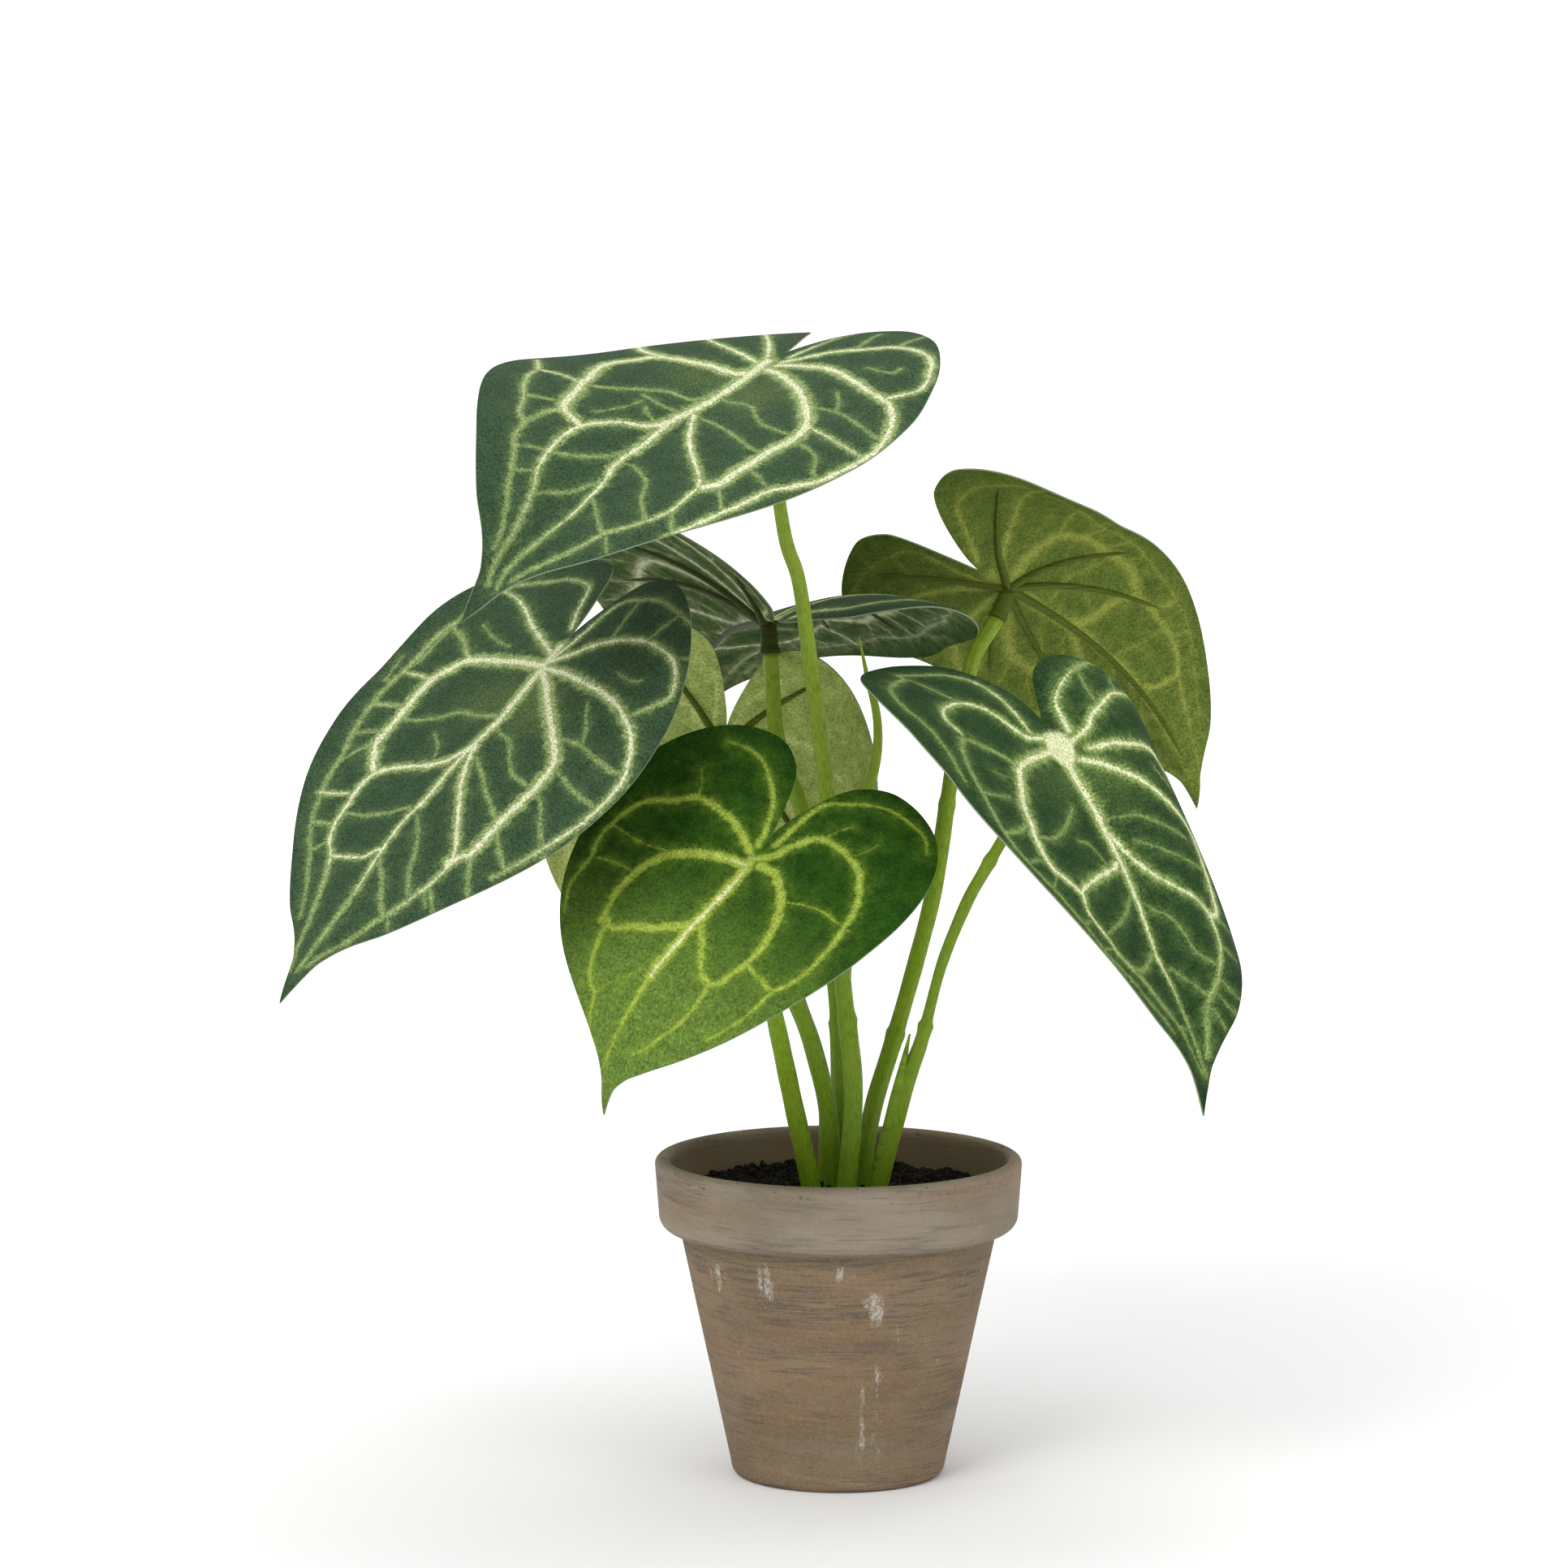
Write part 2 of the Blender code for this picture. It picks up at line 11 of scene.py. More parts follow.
import bpy
import numpy as np
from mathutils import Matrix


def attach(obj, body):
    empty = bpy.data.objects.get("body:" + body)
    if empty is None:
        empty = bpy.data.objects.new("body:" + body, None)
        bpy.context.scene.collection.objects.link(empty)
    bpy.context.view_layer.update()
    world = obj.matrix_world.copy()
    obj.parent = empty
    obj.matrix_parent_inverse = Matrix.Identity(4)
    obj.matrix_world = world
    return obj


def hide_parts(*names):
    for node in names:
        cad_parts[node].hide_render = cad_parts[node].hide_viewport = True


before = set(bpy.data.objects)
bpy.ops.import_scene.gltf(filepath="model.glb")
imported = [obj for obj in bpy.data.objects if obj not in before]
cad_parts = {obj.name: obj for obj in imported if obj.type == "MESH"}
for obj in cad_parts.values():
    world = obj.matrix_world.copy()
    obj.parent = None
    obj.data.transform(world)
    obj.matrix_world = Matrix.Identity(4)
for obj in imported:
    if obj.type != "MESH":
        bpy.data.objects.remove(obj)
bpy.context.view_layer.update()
print("solids:", sorted(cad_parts))

# %% [markdown]
# The seven leaves
# Every leaf is cut from flat fabric to one of two outlines and then bent. It could be sculpted
# in its final pose, but a flat outline and a few angles that say how it points, bends, folds
# and curls are easier to read and to change. One formula then bends all seven.

# %% What describes one leaf
@dataclass
class Leaf:
    """Driving values of one leaf, angles in degrees, right and left as seen from above."""
    outline: str
    joint: tuple              # where the stem joins the blade
    heading: float            # of the tip, clockwise from +Y seen from above
    dip: float
    roll: float
    length: float             # from the joint to the tip
    width: float              # stretch across the midrib
    bend: tuple               # bend of the midrib at the tip: even part, part that grows
    lobe_bend: float          # bend of the midrib line behind the joint
    fold: tuple               # right and left, at the midrib
    curl: tuple               # right and left, added between the midrib and the margin
    twist: float
    fold_gain: float          # added to both folds towards the tip
    lobes: tuple              # lengthening of the right and left lobe


print("values of a leaf:", list(Leaf.__dataclass_fields__))

# %% The values of each leaf
LEAVES = {
    1: Leaf("long", (-0.0249, -0.030, 0.3646), -140, 21.5, -15.5, 0.155, 1.28, (-8, 31), 70.5,
            (-2, -18), (29.5, 18.5), 32.5, -21, (0.05, -0.04)),
    2: Leaf("long", (-0.0939, -0.050, 0.2712), -134, 39, 8, 0.1465, 1.21, (-13.5, 26.5), 27,
            (-2, 5.5), (-21, 19.5), 16, 9, (0.24, -0.01)),
    3: Leaf("long", (-0.0231, 0.030, 0.2780), -13.5, 6, -4, 0.1525, 1.32, (2.5, 45), 43.5,
            (-27.5, -53), (66, 22.5), 0, 19, (0.26, -0.27)),
    4: Leaf("long", (0.0574, 0.088, 0.2835), 49.5, 25.5, -35, 0.1165, 1.10, (1.5, 95.5), -29.5,
            (-40, -12.5), (69.5, 27.5), 22.5, -6.5, (0.55, 0.43)),
    5: Leaf("heart", (-0.0275, -0.080, 0.2144), -133.5, 38, -29.5, 0.1035, 1.04, (-19, 105), 30.5,
            (-6.5, -9), (15.5, 2.5), -22.5, 7, (0.01, 0.15)),
    6: Leaf("long", (0.0693, -0.045, 0.2445), 141, 48, -1.5, 0.132, 1.36, (-15, 50.5), 97.5,
            (-3.5, -51.5), (-7, 117), 22, 4, (0.34, -0.22)),
    7: Leaf("heart", (-0.0382, 0.048, 0.2323), -25.5, 70.5, 15, 0.111, 1.06, (0, 5), 33.5,
            (5.5, -7.5), (44.5, 16.5), -1, 8, (-0.01, 0.06)),
}
print("leaves:", {n: f"{leaf.length * 1000:.0f} mm" for n, leaf in LEAVES.items()})


# %% Two smooth curves
def smooth_between(x, start, end):
    """0 before start, 1 after end, with the cubic 3t^2 - 2t^3 between."""
    t = np.clip((x - start) / (end - start), 0, 1)
    return t * t * (3 - 2 * t)


def curve_through(knots, values, x):
    """Monotone cubic curve through the knots: each slope is the harmonic mean of its
    neighbours' slopes, or zero at a turning point, so the curve never overshoots."""
    knots, values = np.asarray(knots, float), np.asarray(values, float)
    gap = np.diff(knots)
    rise = np.diff(values) / gap
    slope = np.concatenate([rise[:1], np.zeros(len(rise) - 1), rise[-1:]])
    before, after = 2 * gap[1:] + gap[:-1], gap[1:] + 2 * gap[:-1]
    turning = rise[:-1] * rise[1:] <= 0
    low, high = np.where(turning, 1, rise[:-1]), np.where(turning, 1, rise[1:])
    slope[1:-1] = np.where(turning, 0.0, (before + after) / (before / low + after / high))
    i = np.clip(np.searchsorted(knots, x, side="right") - 1, 0, len(gap) - 1)
    t = (x - knots[i]) / gap[i]
    return ((2 * t**3 - 3 * t**2 + 1) * values[i] + (t**3 - 2 * t**2 + t) * gap[i] * slope[i]
            + (3 * t**2 - 2 * t**3) * values[i + 1] + (t**3 - t**2) * gap[i] * slope[i + 1])


print("a quarter of the way, the smooth rise is at", smooth_between(0.25, 0.0, 1.0))

# %% The two outlines
TURN = 2 * math.pi
OUTLINE_ANGLES = (0, 2, 8.5, 18, 33, 51, 75, 100, 120, 137, 155, 166, 174, 180)
# Radius of the plain outline at those angles from the tip, as a share of the leaf's length
OUTLINES = {
    "long": (1.0, 0.885, 0.775, 0.655, 0.535, 0.437, 0.36, 0.325, 0.318, 0.322, 0.325, 0.29, 0.16,
             0.075),
    "heart": (1.0, 0.87, 0.78, 0.72, 0.66, 0.60, 0.54, 0.50, 0.48, 0.47, 0.44, 0.36, 0.18, 0.08),
}
LOBE_START, LOBE_FULL = math.radians(70), math.radians(135)   # where a lobe starts to lengthen


def pattern_radius(leaf, theta):
    """Radius of the plain outline as a share of the length, at an angle from the tip."""
    return curve_through(np.radians(OUTLINE_ANGLES), OUTLINES[leaf.outline], np.abs(theta))


def outline_radius(leaf, theta):
    """Distance from the joint to the margin at an angle from the tip, right side positive."""
    lobe = np.where(theta > 0, leaf.lobes[0], leaf.lobes[1])
    longer = 1 + lobe * smooth_between(np.abs(theta), LOBE_START, LOBE_FULL)
    return leaf.length * pattern_radius(leaf, theta) * longer


def flat_point(leaf, theta, radius):
    """Flat coordinates of a point at an angle from the tip: x = r sin(theta) * width, right
    of the midrib, and y = r cos(theta), towards the tip."""
    return radius * np.sin(theta) * leaf.width, radius * np.cos(theta)


all_round = np.linspace(-np.pi, np.pi, 721)
for number, leaf in LEAVES.items():
    x, y = flat_point(leaf, all_round, outline_radius(leaf, all_round))
    print(f"leaf {number} cut flat: {1000 * np.ptp(x):.0f} by {1000 * np.ptp(y):.0f} mm")

# %% [markdown]
# Bending a leaf
# A flat leaf gets its shape from its midrib, which bends forward, and from its two sides, which
# fold up or down at the midrib and curl towards the margin. A lattice or a bend modifier would
# do one of these at a time. Here each is an angle that grows evenly, so one formula gives every
# point of the blade, and the ribs under it can use the same formula.

# %% Which way a leaf points
def leaf_axes(leaf):
    """Unit vectors at the joint: towards the tip, to the right, and out of the upper face."""
    heading, dip, roll = (math.radians(a) for a in (leaf.heading, leaf.dip, leaf.roll))
    ahead = np.array([math.sin(heading) * math.cos(dip), math.cos(heading) * math.cos(dip),
                      -math.sin(dip)])
    level = np.cross(ahead, (0.0, 0.0, 1.0))
    level /= np.linalg.norm(level)
    across = level * math.cos(roll) + np.cross(ahead, level) * math.sin(roll)
    return ahead, across, np.cross(across, ahead)


print("leaf 1 points to", leaf_axes(LEAVES[1])[0].round(2))

# %% The midrib of a bent leaf
CURL_SPAN = 0.4           # share of the length over which a side turns by its curl
CREASE = 0.0025           # over this distance from the midrib the fold is rounded
LEAST_BEND = 1e-3         # a smaller bend is taken as this one, so that nothing is divided by 0


def running_sum(table, values):
    """Sum of the values along an evenly spaced table, by trapezia, and zero at the joint."""
    step = table[1] - table[0]
    walked = np.concatenate([[0], np.cumsum((values[1:] + values[:-1]) / 2 * step)])
    return walked - np.interp(0, table, walked)


def midrib_curve(leaf, y):
    """Way ahead, drop and angle of the midrib at y. With s = y / length the angle is
    e*s + g*s^2 in front of the joint and l*s behind it. The way ahead and the drop are the
    running sums of its cosine and its sine, and both are zero at the joint."""
    table = np.linspace(-0.6, 1.05, 661) * leaf.length
    s = table / leaf.length
    even, grows = np.radians(leaf.bend)
    angle = np.where(s >= 0, even * s + grows * s * s, math.radians(leaf.lobe_bend) * s)
    run, drop = (running_sum(table, part) for part in (np.cos(angle), np.sin(angle)))
    return [np.interp(y, table, curve)[..., None] for curve in (run, drop, angle)]


drop = midrib_curve(LEAVES[1], np.array([LEAVES[1].length]))[1]
print(f"the midrib of leaf 1 drops by {1000 * drop.item():.0f} mm towards its tip")

# %% The cross section of a bent leaf
def cross_section(leaf, x, y):
    """How far a point at x is out to its side and up. From the midrib a short arc reaches the
    fold angle, then a long arc adds the curl. On an arc with the curvature k the way out is
    (sin(end) - sin(start)) / k, and the rise is (cos(end) - cos(start)) / k."""
    right = x > 0
    fold = (np.where(right, *np.radians(leaf.fold))
            + math.radians(leaf.fold_gain) * y / leaf.length)
    curl = np.where(right, *np.radians(leaf.curl)) / (CURL_SPAN * leaf.length)
    curl = np.where(np.abs(curl) < LEAST_BEND, LEAST_BEND, curl)
    reach = np.abs(x)
    near = np.minimum(reach, CREASE)
    tight = (fold + curl * CREASE) / CREASE
    tight = np.where(np.abs(tight) < LEAST_BEND, LEAST_BEND, tight)
    start, end = fold + curl * CREASE, fold + curl * np.maximum(reach, CREASE)
    out = np.sin(tight * near) / tight + (np.sin(end) - np.sin(start)) / curl
    rise = (np.cos(tight * near) - 1) / tight + (np.cos(end) - np.cos(start)) / curl
    return (np.sign(x) * out)[..., None], rise[..., None]


out, rise = cross_section(LEAVES[1], np.array([0.05]), np.zeros(1))
print(f"50 mm out on the flat leaf 1 is {1000 * out.item():.0f} mm out on the bent one")

# %% From flat to bent
def bent(leaf, x, y):
    """Points of the bent leaf for flat coordinates x (right) and y (towards the tip):
    joint + ahead*run - up*drop + side*out + normal*rise. The side and the normal have turned
    about the midrib by twist*y / length."""
    x, y = np.asarray(x, float), np.asarray(y, float)
    ahead, across, up = leaf_axes(leaf)
    run, drop, bend = midrib_curve(leaf, y)
    midrib = run * ahead - drop * up
    turn = (math.radians(leaf.twist) * y / leaf.length)[..., None]
    normal = np.cos(bend) * up + np.sin(bend) * ahead
    side = across * np.cos(turn) + normal * np.sin(turn)
    normal = normal * np.cos(turn) - across * np.sin(turn)
    out, rise = cross_section(leaf, x, y)
    return np.array(leaf.joint) + midrib + out * side + rise * normal


def face_normal(leaf, x, y):
    """Unit normal of the upper face: the cross product of the slopes along x and along y."""
    step = 0.0008
    gain_x = bent(leaf, x + step, y) - bent(leaf, x - step, y)
    gain_y = bent(leaf, x, y + step) - bent(leaf, x, y - step)
    normal = np.cross(gain_x, gain_y)
    return normal / np.linalg.norm(normal, axis=-1, keepdims=True)


for number, leaf in LEAVES.items():
    tip = bent(leaf, np.zeros(1), np.array([leaf.length]))[0]
    print(f"leaf {number}: tip {1000 * tip[2]:.0f} mm above the floor")

# %% [markdown]
# The veins
# The pattern on the fabric is printed: pale veins with a soft greenish glow that close into
# loops, as on many aroids. An image would be the usual way, but here the veins are drawn as a
# few smooth curves, and the mesh carries the way to the nearest curve at every vertex. The
# vector to a line changes evenly across a face, so even a thin vein stays sharp between two
# vertices, and the material can give it any width, glow and ragged edge.
# Each vein has its half widths in millimetres at its start and end, then points (x, y) in
# percent of the leaf's length, with the joint at (0, 0), x to the right and the tip at (0, 100).

# %% Main veins of the long print
LONG_MAIN = (
    (4.2, 1.2, ((0, -5), (-.5, 10), (-.8, 17), (0, 25), (.5, 33), (0, 42), (.8, 50), (0, 60),
                  (-1, 70), (-.8, 80), (0, 92))),
    (2.9, 1.0, ((-.4, 25.2), (-1.7, 29.6), (-3.9, 35.2), (-7, 40.9), (-10, 46.5), (-13, 52.2),
                  (-13.9, 56.5), (-13.2, 61.7), (-11.7, 66.5), (-10, 71.3), (-8.3, 74.8),
                  (-6.5, 79.6), (-4.8, 83.5), (-2.6, 87), (-1.3, 90.4))),
    (3.6, 3.0, ((-.9, 1.7), (-5.2, 6.1), (-10, 12.6), (-14.8, 18.3), (-18.7, 24.3),
                  (-18.9, 30.4), (-18.3, 35.7), (-17.2, 41.7), (-16.7, 47), (-16.3, 51.7),
                  (-14.8, 53.5), (-13.5, 56))),
    (1.4, 1.0, ((-16.3, 52.6), (-18.3, 56.5), (-20, 60), (-21.3, 62.6))),
    (3.2, 1.6, ((-.9, .9), (-7, 1.7), (-13.9, 3.5), (-20, 5.2), (-25.2, 8.3), (-29.1, 12.2),
                  (-31.7, 17.4), (-32.9, 22.6), (-32.3, 28.7), (-30.9, 35.2), (-28.7, 40.9),
                  (-27, 45.2), (-24.8, 50.4), (-22.6, 54.8))),
    (2.9, 1.6, ((-.9, -1.3), (-5.2, -4.3), (-8.7, -7.4), (-13, -9.7), (-19.1, -10.9),
                  (-24.3, -9.7), (-27.8, -7.8), (-30.4, -3.9), (-31.6, .4), (-30, 3.5),
                  (-27, 7))),
    (2.4, 1.1, ((-1, -2.2), (-2.2, -6.1), (-3.5, -11.3), (-4.3, -16.5), (-6.1, -21.3),
                  (-10.4, -22.6), (-15.2, -22.8), (-19.6, -21.3), (-24.3, -19.1), (-27.8, -17.4))),
    (3.2, 1.0, ((.4, 26.1), (2.6, 30), (6.1, 32.6), (10.4, 33.9), (14.3, 35.7), (17, 38.3),
                  (17.4, 43.5), (16.5, 48.7), (15.7, 53.9), (13.9, 58.3), (11.3, 61.7), (9.1, 66.1),
                  (7.4, 70.4), (6.1, 74.8), (4.8, 79.1), (3.9, 83.5), (3, 87.8), (1.7, 92.2))),
    (3.8, 3.0, ((.4, 0), (6.1, -.7), (12.2, -.4), (18.3, .9), (21.3, 4.3), (23.3, 8.7),
                  (23.5, 13.9), (23, 19.1), (22.6, 24.3), (22.4, 29.6), (20.9, 32.6), (19.1, 35.7),
                  (17.2, 38))),
    (1.6, 1.0, ((22.4, 29.6), (24.3, 33), (25.7, 37.4))),
    (1.8, 1.0, ((25.7, -7), (27.4, -4.3), (29.1, 1.7), (30, 7.8), (30.6, 14.8), (30, 21.7),
                  (28.7, 28.7), (26.5, 35.7), (25.2, 42.6), (23.5, 47.8), (21.3, 53.9), (18.3, 59.1),
                  (15.7, 62.6), (13.9, 66.1), (11.3, 70.4), (9.1, 74.8), (7.4, 79.1))),
    (1.9, 1.4, ((19, 0), (20, -.9), (22.2, -3.9), (25.7, -6.1))),
    (2.7, 1.6, ((.9, -3.5), (6.1, -7), (11.3, -10.9), (16.1, -14.8), (20, -16.5), (24, -17))),
    (2.2, 1.1, ((1.3, -10), (3.9, -15), (5.5, -19), (7.4, -22.2), (12.2, -23.3), (15.7, -21.7),
                  (20, -19.1), (23.5, -13.9), (25.2, -8.7), (27, -2.6), (28.7, 5.2))),
)
print("main veins:", len(LONG_MAIN))

# %% Fine veins of the long print
LONG_FINE = (
    (1.4, 1.1, ((-30, 30), (-26.1, 29.1), (-22.2, 27), (-18.7, 25.4))),
    (1.4, 1.1, ((-30, 21.3), (-25.2, 20), (-20.9, 18.3), (-15.2, 18.3))),
    (1.0, 0.8, ((-21.3, 17.8), (-20.4, 14.8), (-18.3, 11.3), (-16.5, 7.8))),
    (1.3, 1.0, ((-26.1, 42.2), (-24.3, 39.1), (-22.2, 35.2), (-19.6, 32.2))),
    (1.3, 1.2, ((-23, 51.3), (-20, 47.8), (-17.2, 43.5))),
    (1.0, 1.3, ((-17, 68.3), (-13.9, 63.5))),
    (1.4, 1.2, ((-8.3, 72.6), (-5.7, 68.3), (-3.5, 64.3), (-.4, 60.4))),
    (1.2, 1.0, ((-10, 65.7), (-7.8, 60.9), (-6.1, 55.7), (-3.9, 51.3), (-.9, 47.4))),
    (1.3, 1.1, ((-15.7, 41.7), (-13, 39.1), (-9.6, 35.7), (-6.1, 31.7), (-1.7, 27.8))),
    (1.2, 1.0, ((-17, 31.7), (-13, 30.4), (-10, 27), (-7, 22.6), (-3.5, 20.9), (-1.3, 19))),
    (0.9, 0.8, ((-24.3, -.9), (-22.2, 0), (-18.3, -1.3))),
    (1.2, 1.1, ((-11.3, -10.9), (-10.9, -15.7), (-10.4, -21.7))),
    (1.2, 1.1, ((-19.8, -11.7), (-20.9, -15.7), (-21.9, -18.3))),
    (1.0, 0.9, ((-28.7, -8.7), (-30.9, -10))),
    (1.0, 0.9, ((-32.9, 21.5), (-35, 23.5))), (1.0, 0.9, ((-32.2, 29.5), (-34, 32.5))),
    (1.0, 0.9, ((-30.5, 36), (-32.5, 39.5))), (1.0, 0.9, ((-27.8, 43), (-29.5, 46.5))),
    (0.9, 0.8, ((-12.5, 64), (-15, 67.5))), (0.9, 0.8, ((-9.5, 72.5), (-11.3, 76))),
    (2.3, 1.9, ((1.3, 58.3), (3.5, 60.9), (7.8, 61.7), (11.3, 62.2))),
    (1.3, 1.2, ((2.6, 45.7), (6.1, 47.8), (10.4, 49.6), (15.2, 50.4))),
    (1.4, 1.2, ((1.3, 16.1), (6.1, 16.5), (10.4, 16.1), (13.9, 18.3), (17.4, 20.4), (22.2, 21.7))),
    (0.9, 0.8, ((7, 30.4), (8.7, 27), (12.2, 23.5))),
    (1.6, 1.6, ((23.9, 17.8), (27, 19.1), (29.6, 20))),
    (1.3, 1.3, ((23.5, 26.5), (26.1, 27.8), (28.3, 29.1))),
    (1.9, 1.9, ((23.9, 8.7), (27, 8.7), (29.6, 9))),
    (1.9, 1.9, ((17.8, 44.8), (20.9, 46.1), (24.3, 47))),
    (1.5, 1.5, ((16.1, 53.9), (20, 54.8))), (1.0, 1.0, ((14.3, 59.1), (15.7, 62))),
    (0.9, 0.8, ((11.3, -4.3), (15.7, -5.7), (20, -8.3))),
    (0.9, 0.8, ((32, 13), (32.5, 5))),
)
print("fine veins:", len(LONG_FINE))

# %% Veins of the heart print
HEART_MAIN = (
    (2.6, 2.9, ((-.5, 1.5), (-.9, 6), (-1, 13))),
    (3.0, 2.9, ((-1, 12), (-.5, 20), (.5, 30), (1, 38), (2, 47), (2.2, 51))),
    (2.0, 1.1, ((2.2, 50), (2.5, 60), (3, 70), (3.3, 80), (3.5, 84))),
    (2.3, 1.3, ((0, 28), (-3.5, 32), (-7, 36.5), (-10, 41), (-13, 44.5), (-16.5, 45.5),
                  (-17.5, 50), (-17, 56), (-15, 61.5), (-12, 66), (-9.5, 70), (-6, 73.5))),
    (2.6, 1.9, ((-4, 2), (-9, 2.5), (-12, 4.5), (-15.5, 8), (-19, 13), (-21.5, 19), (-23.2, 26),
                  (-23.5, 31), (-23, 36), (-21.5, 40), (-20, 44), (-17.5, 46))),
    (2.3, 1.5, ((-2, 0), (-5, -3), (-7, -8), (-10, -12.5), (-12.5, -13.8), (-17, -13.8),
                  (-23, -12), (-28, -9.5), (-32.5, -5), (-36, -.5), (-38.5, 5), (-40, 11),
                  (-41.3, 18), (-41.5, 26), (-41, 32), (-39, 37.5), (-35.5, 40), (-31, 38.5),
                  (-26, 37), (-23.5, 35.5))),
    (1.6, 1.1, ((-36.5, 41), (-35.5, 46), (-34, 51), (-31, 56), (-27.5, 60))),
    (1.9, 1.1, ((-3, -6), (-3.5, -12), (-4.2, -19), (-5.5, -25), (-10, -28.5), (-15, -32),
                  (-21, -33.5), (-27, -32.5), (-33, -30), (-37, -25.5))),
    (2.6, 1.3, ((1, 31), (5, 33.5), (11, 37.5), (17, 39.5), (22, 42), (25, 42.5), (25, 46),
                  (24, 52), (22.5, 58), (20, 61.5), (17, 64), (15.5, 70), (13.5, 75))),
    (2.8, 1.9, ((0, 4), (7, 5.5), (13, 8), (19, 11.5), (23.5, 16), (26.5, 22), (28, 28),
                  (28.5, 33), (27.8, 38), (26.5, 41.5))),
    (2.3, 1.3, ((2, -1), (7, -4.5), (13, -7), (19, -8), (25, -8), (31, -3.5), (37, -.5), (41, 4),
                  (43.5, 10), (44.8, 17), (43.5, 23), (44.8, 30), (45, 35), (43.5, 39), (42, 43))),
    (1.9, 1.1, ((1, -4), (2.5, -11), (6, -19), (11, -25), (17, -29.5), (23, -30.5), (29, -29))),
)
HEART_FINE = (
    (0.9, 0.8, ((-12.5, -14), (-13.5, -18), (-16, -22))),
    (0.9, 0.8, ((-22, -12.5), (-24, -16), (-25, -20))),
    (1.2, 1.0, ((-42, 11), (-37, 10), (-31, 8.5), (-25, 9), (-18, 11))),
    (0.9, 0.8, ((20, 62), (24, 64))), (1.0, 0.9, ((17, 64), (13, 58), (9, 54), (6, 50))),
    (1.2, 1.0, ((27, 23), (35, 22.2), (43, 23))),
    (1.1, 0.9, ((19, 11.5), (25, 12.5), (32, 13), (41, 11.5))),
    (1.0, 0.9, ((25, -8.5), (27, -13), (30, -17))),
    (2.6, 2.3, ((25.5, 41), (28, 41.5))),
)
print("main and fine veins:", len(HEART_MAIN), len(HEART_FINE))

# %% Main veins of the top leaf
TOP_MAIN = (
    (4.0, 1.2, ((.4, -2.6), (0, 4.3), (-.2, 10.4), (0, 16.5), (.3, 21.7), (.9, 26.1), (1, 30.4),
                 (.7, 34.8), (.4, 39.1), (.7, 44.3), (.4, 49.6), (-.9, 54.8), (-1.3, 60), (-1.7, 65.2),
                 (-1.3, 70.4), (-.9, 75.7), (-.4, 80.9), (-.4, 86.1), (-1.3, 90.4))),
    (3.8, 3.4, ((.9, 4.3), (2.6, 5.7), (7, 6.1), (11.3, 7), (14.8, 7.8), (17, 9.6), (17.8, 12.2),
                 (19.1, 14.8), (20, 18.3), (19.6, 22.6), (18.3, 27), (17.4, 31.3), (16.1, 35.7),
                 (15.2, 40), (13.9, 43.5), (10, 45.2))),
    (2.8, 1.2, ((1.3, 28.7), (1.7, 31.7), (3.5, 34.8), (6.1, 37.4), (8.3, 41.7), (9.6, 46.1),
                 (9.7, 51.3), (9.1, 56.5), (7.8, 62.6), (6.1, 66.1), (4.8, 70.4), (3.5, 75.7),
                 (2.6, 80), (2.2, 84.3), (1.3, 87.8), (.4, 90.4))),
    (3.2, 2.2, ((15.2, 7.8), (20, 6.1), (23.5, 2.6), (26.1, -.9), (28.7, -5.2), (29.6, -11.3))),
    (2.0, 1.2, ((31.3, 24.3), (28.7, 27.8), (26.1, 32.2), (24.8, 37.4), (22.6, 42.6), (20, 47),
                 (17.8, 52.2), (15.7, 53.9), (14.8, 58.3), (13, 61.7), (10.4, 67), (8.3, 71.3),
                 (6.1, 75.7), (4.3, 80), (3.5, 83.5))),
    (1.8, 1.5, ((14.3, 43.5), (15.2, 47.8), (15.7, 52.2))),
    (2.8, 1.6, ((1.7, -.9), (5.2, -2.2), (10.4, -4.3), (14.8, -7.8), (17.8, -12.2), (20, -17.4),
                 (20.9, -25.2))),
    (2.6, 1.5, ((1.3, -4.3), (3.5, -8.3), (7, -13.9), (10.4, -19.1), (13, -24.3), (15.7, -29.6))),
    (3.4, 3.8, ((-1.7, .9), (-5.2, 2.6), (-9.6, 5.7), (-13, 8.7), (-16.5, 13), (-19.6, 17.4),
                 (-21.3, 21.7), (-21.3, 26.1), (-20.4, 30.4), (-19.8, 35.7), (-19.1, 40.9),
                 (-18.7, 45.2), (-17, 47.8))),
    (2.6, 1.4, ((-.4, 23.5), (-1.7, 26.1), (-4.3, 31.3), (-7, 35.7), (-10.4, 40), (-13.9, 44.3),
                 (-16.1, 47.8), (-16.3, 52.2), (-16.3, 56.5), (-15.2, 60), (-13, 64.3), (-10, 68.7),
                 (-8.3, 73.9), (-6.5, 78.3), (-4.3, 82.6), (-2.6, 87))),
    (3.2, 2.4, ((-2.6, -1.3), (-7, -1.7), (-13, -1.7), (-18.3, .4), (-23.5, 3), (-28.7, 5.2),
                 (-31.7, 9.6), (-33.5, 14.8), (-34.3, 20), (-33.9, 24.3), (-32.6, 30.4), (-31.3, 34.8),
                 (-28.7, 39.1), (-26.5, 42.6), (-25.2, 47.8), (-23.5, 53), (-21.7, 58.3),
                 (-19.6, 64.3))),
    (3.0, 2.2, ((-2.6, -3), (-6.1, -6.1), (-9.6, -10), (-13.9, -12.6), (-19.1, -16.5), (-24.3, -15.7),
                 (-27.4, -13), (-30, -7), (-30.9, -2.6), (-28.7, 1.7), (-27, 4.3))),
    (2.4, 1.3, ((-2.6, -6.1), (-3.5, -11.3), (-4.3, -19.1), (-5.2, -23.5))),
)
print("main veins:", len(TOP_MAIN))

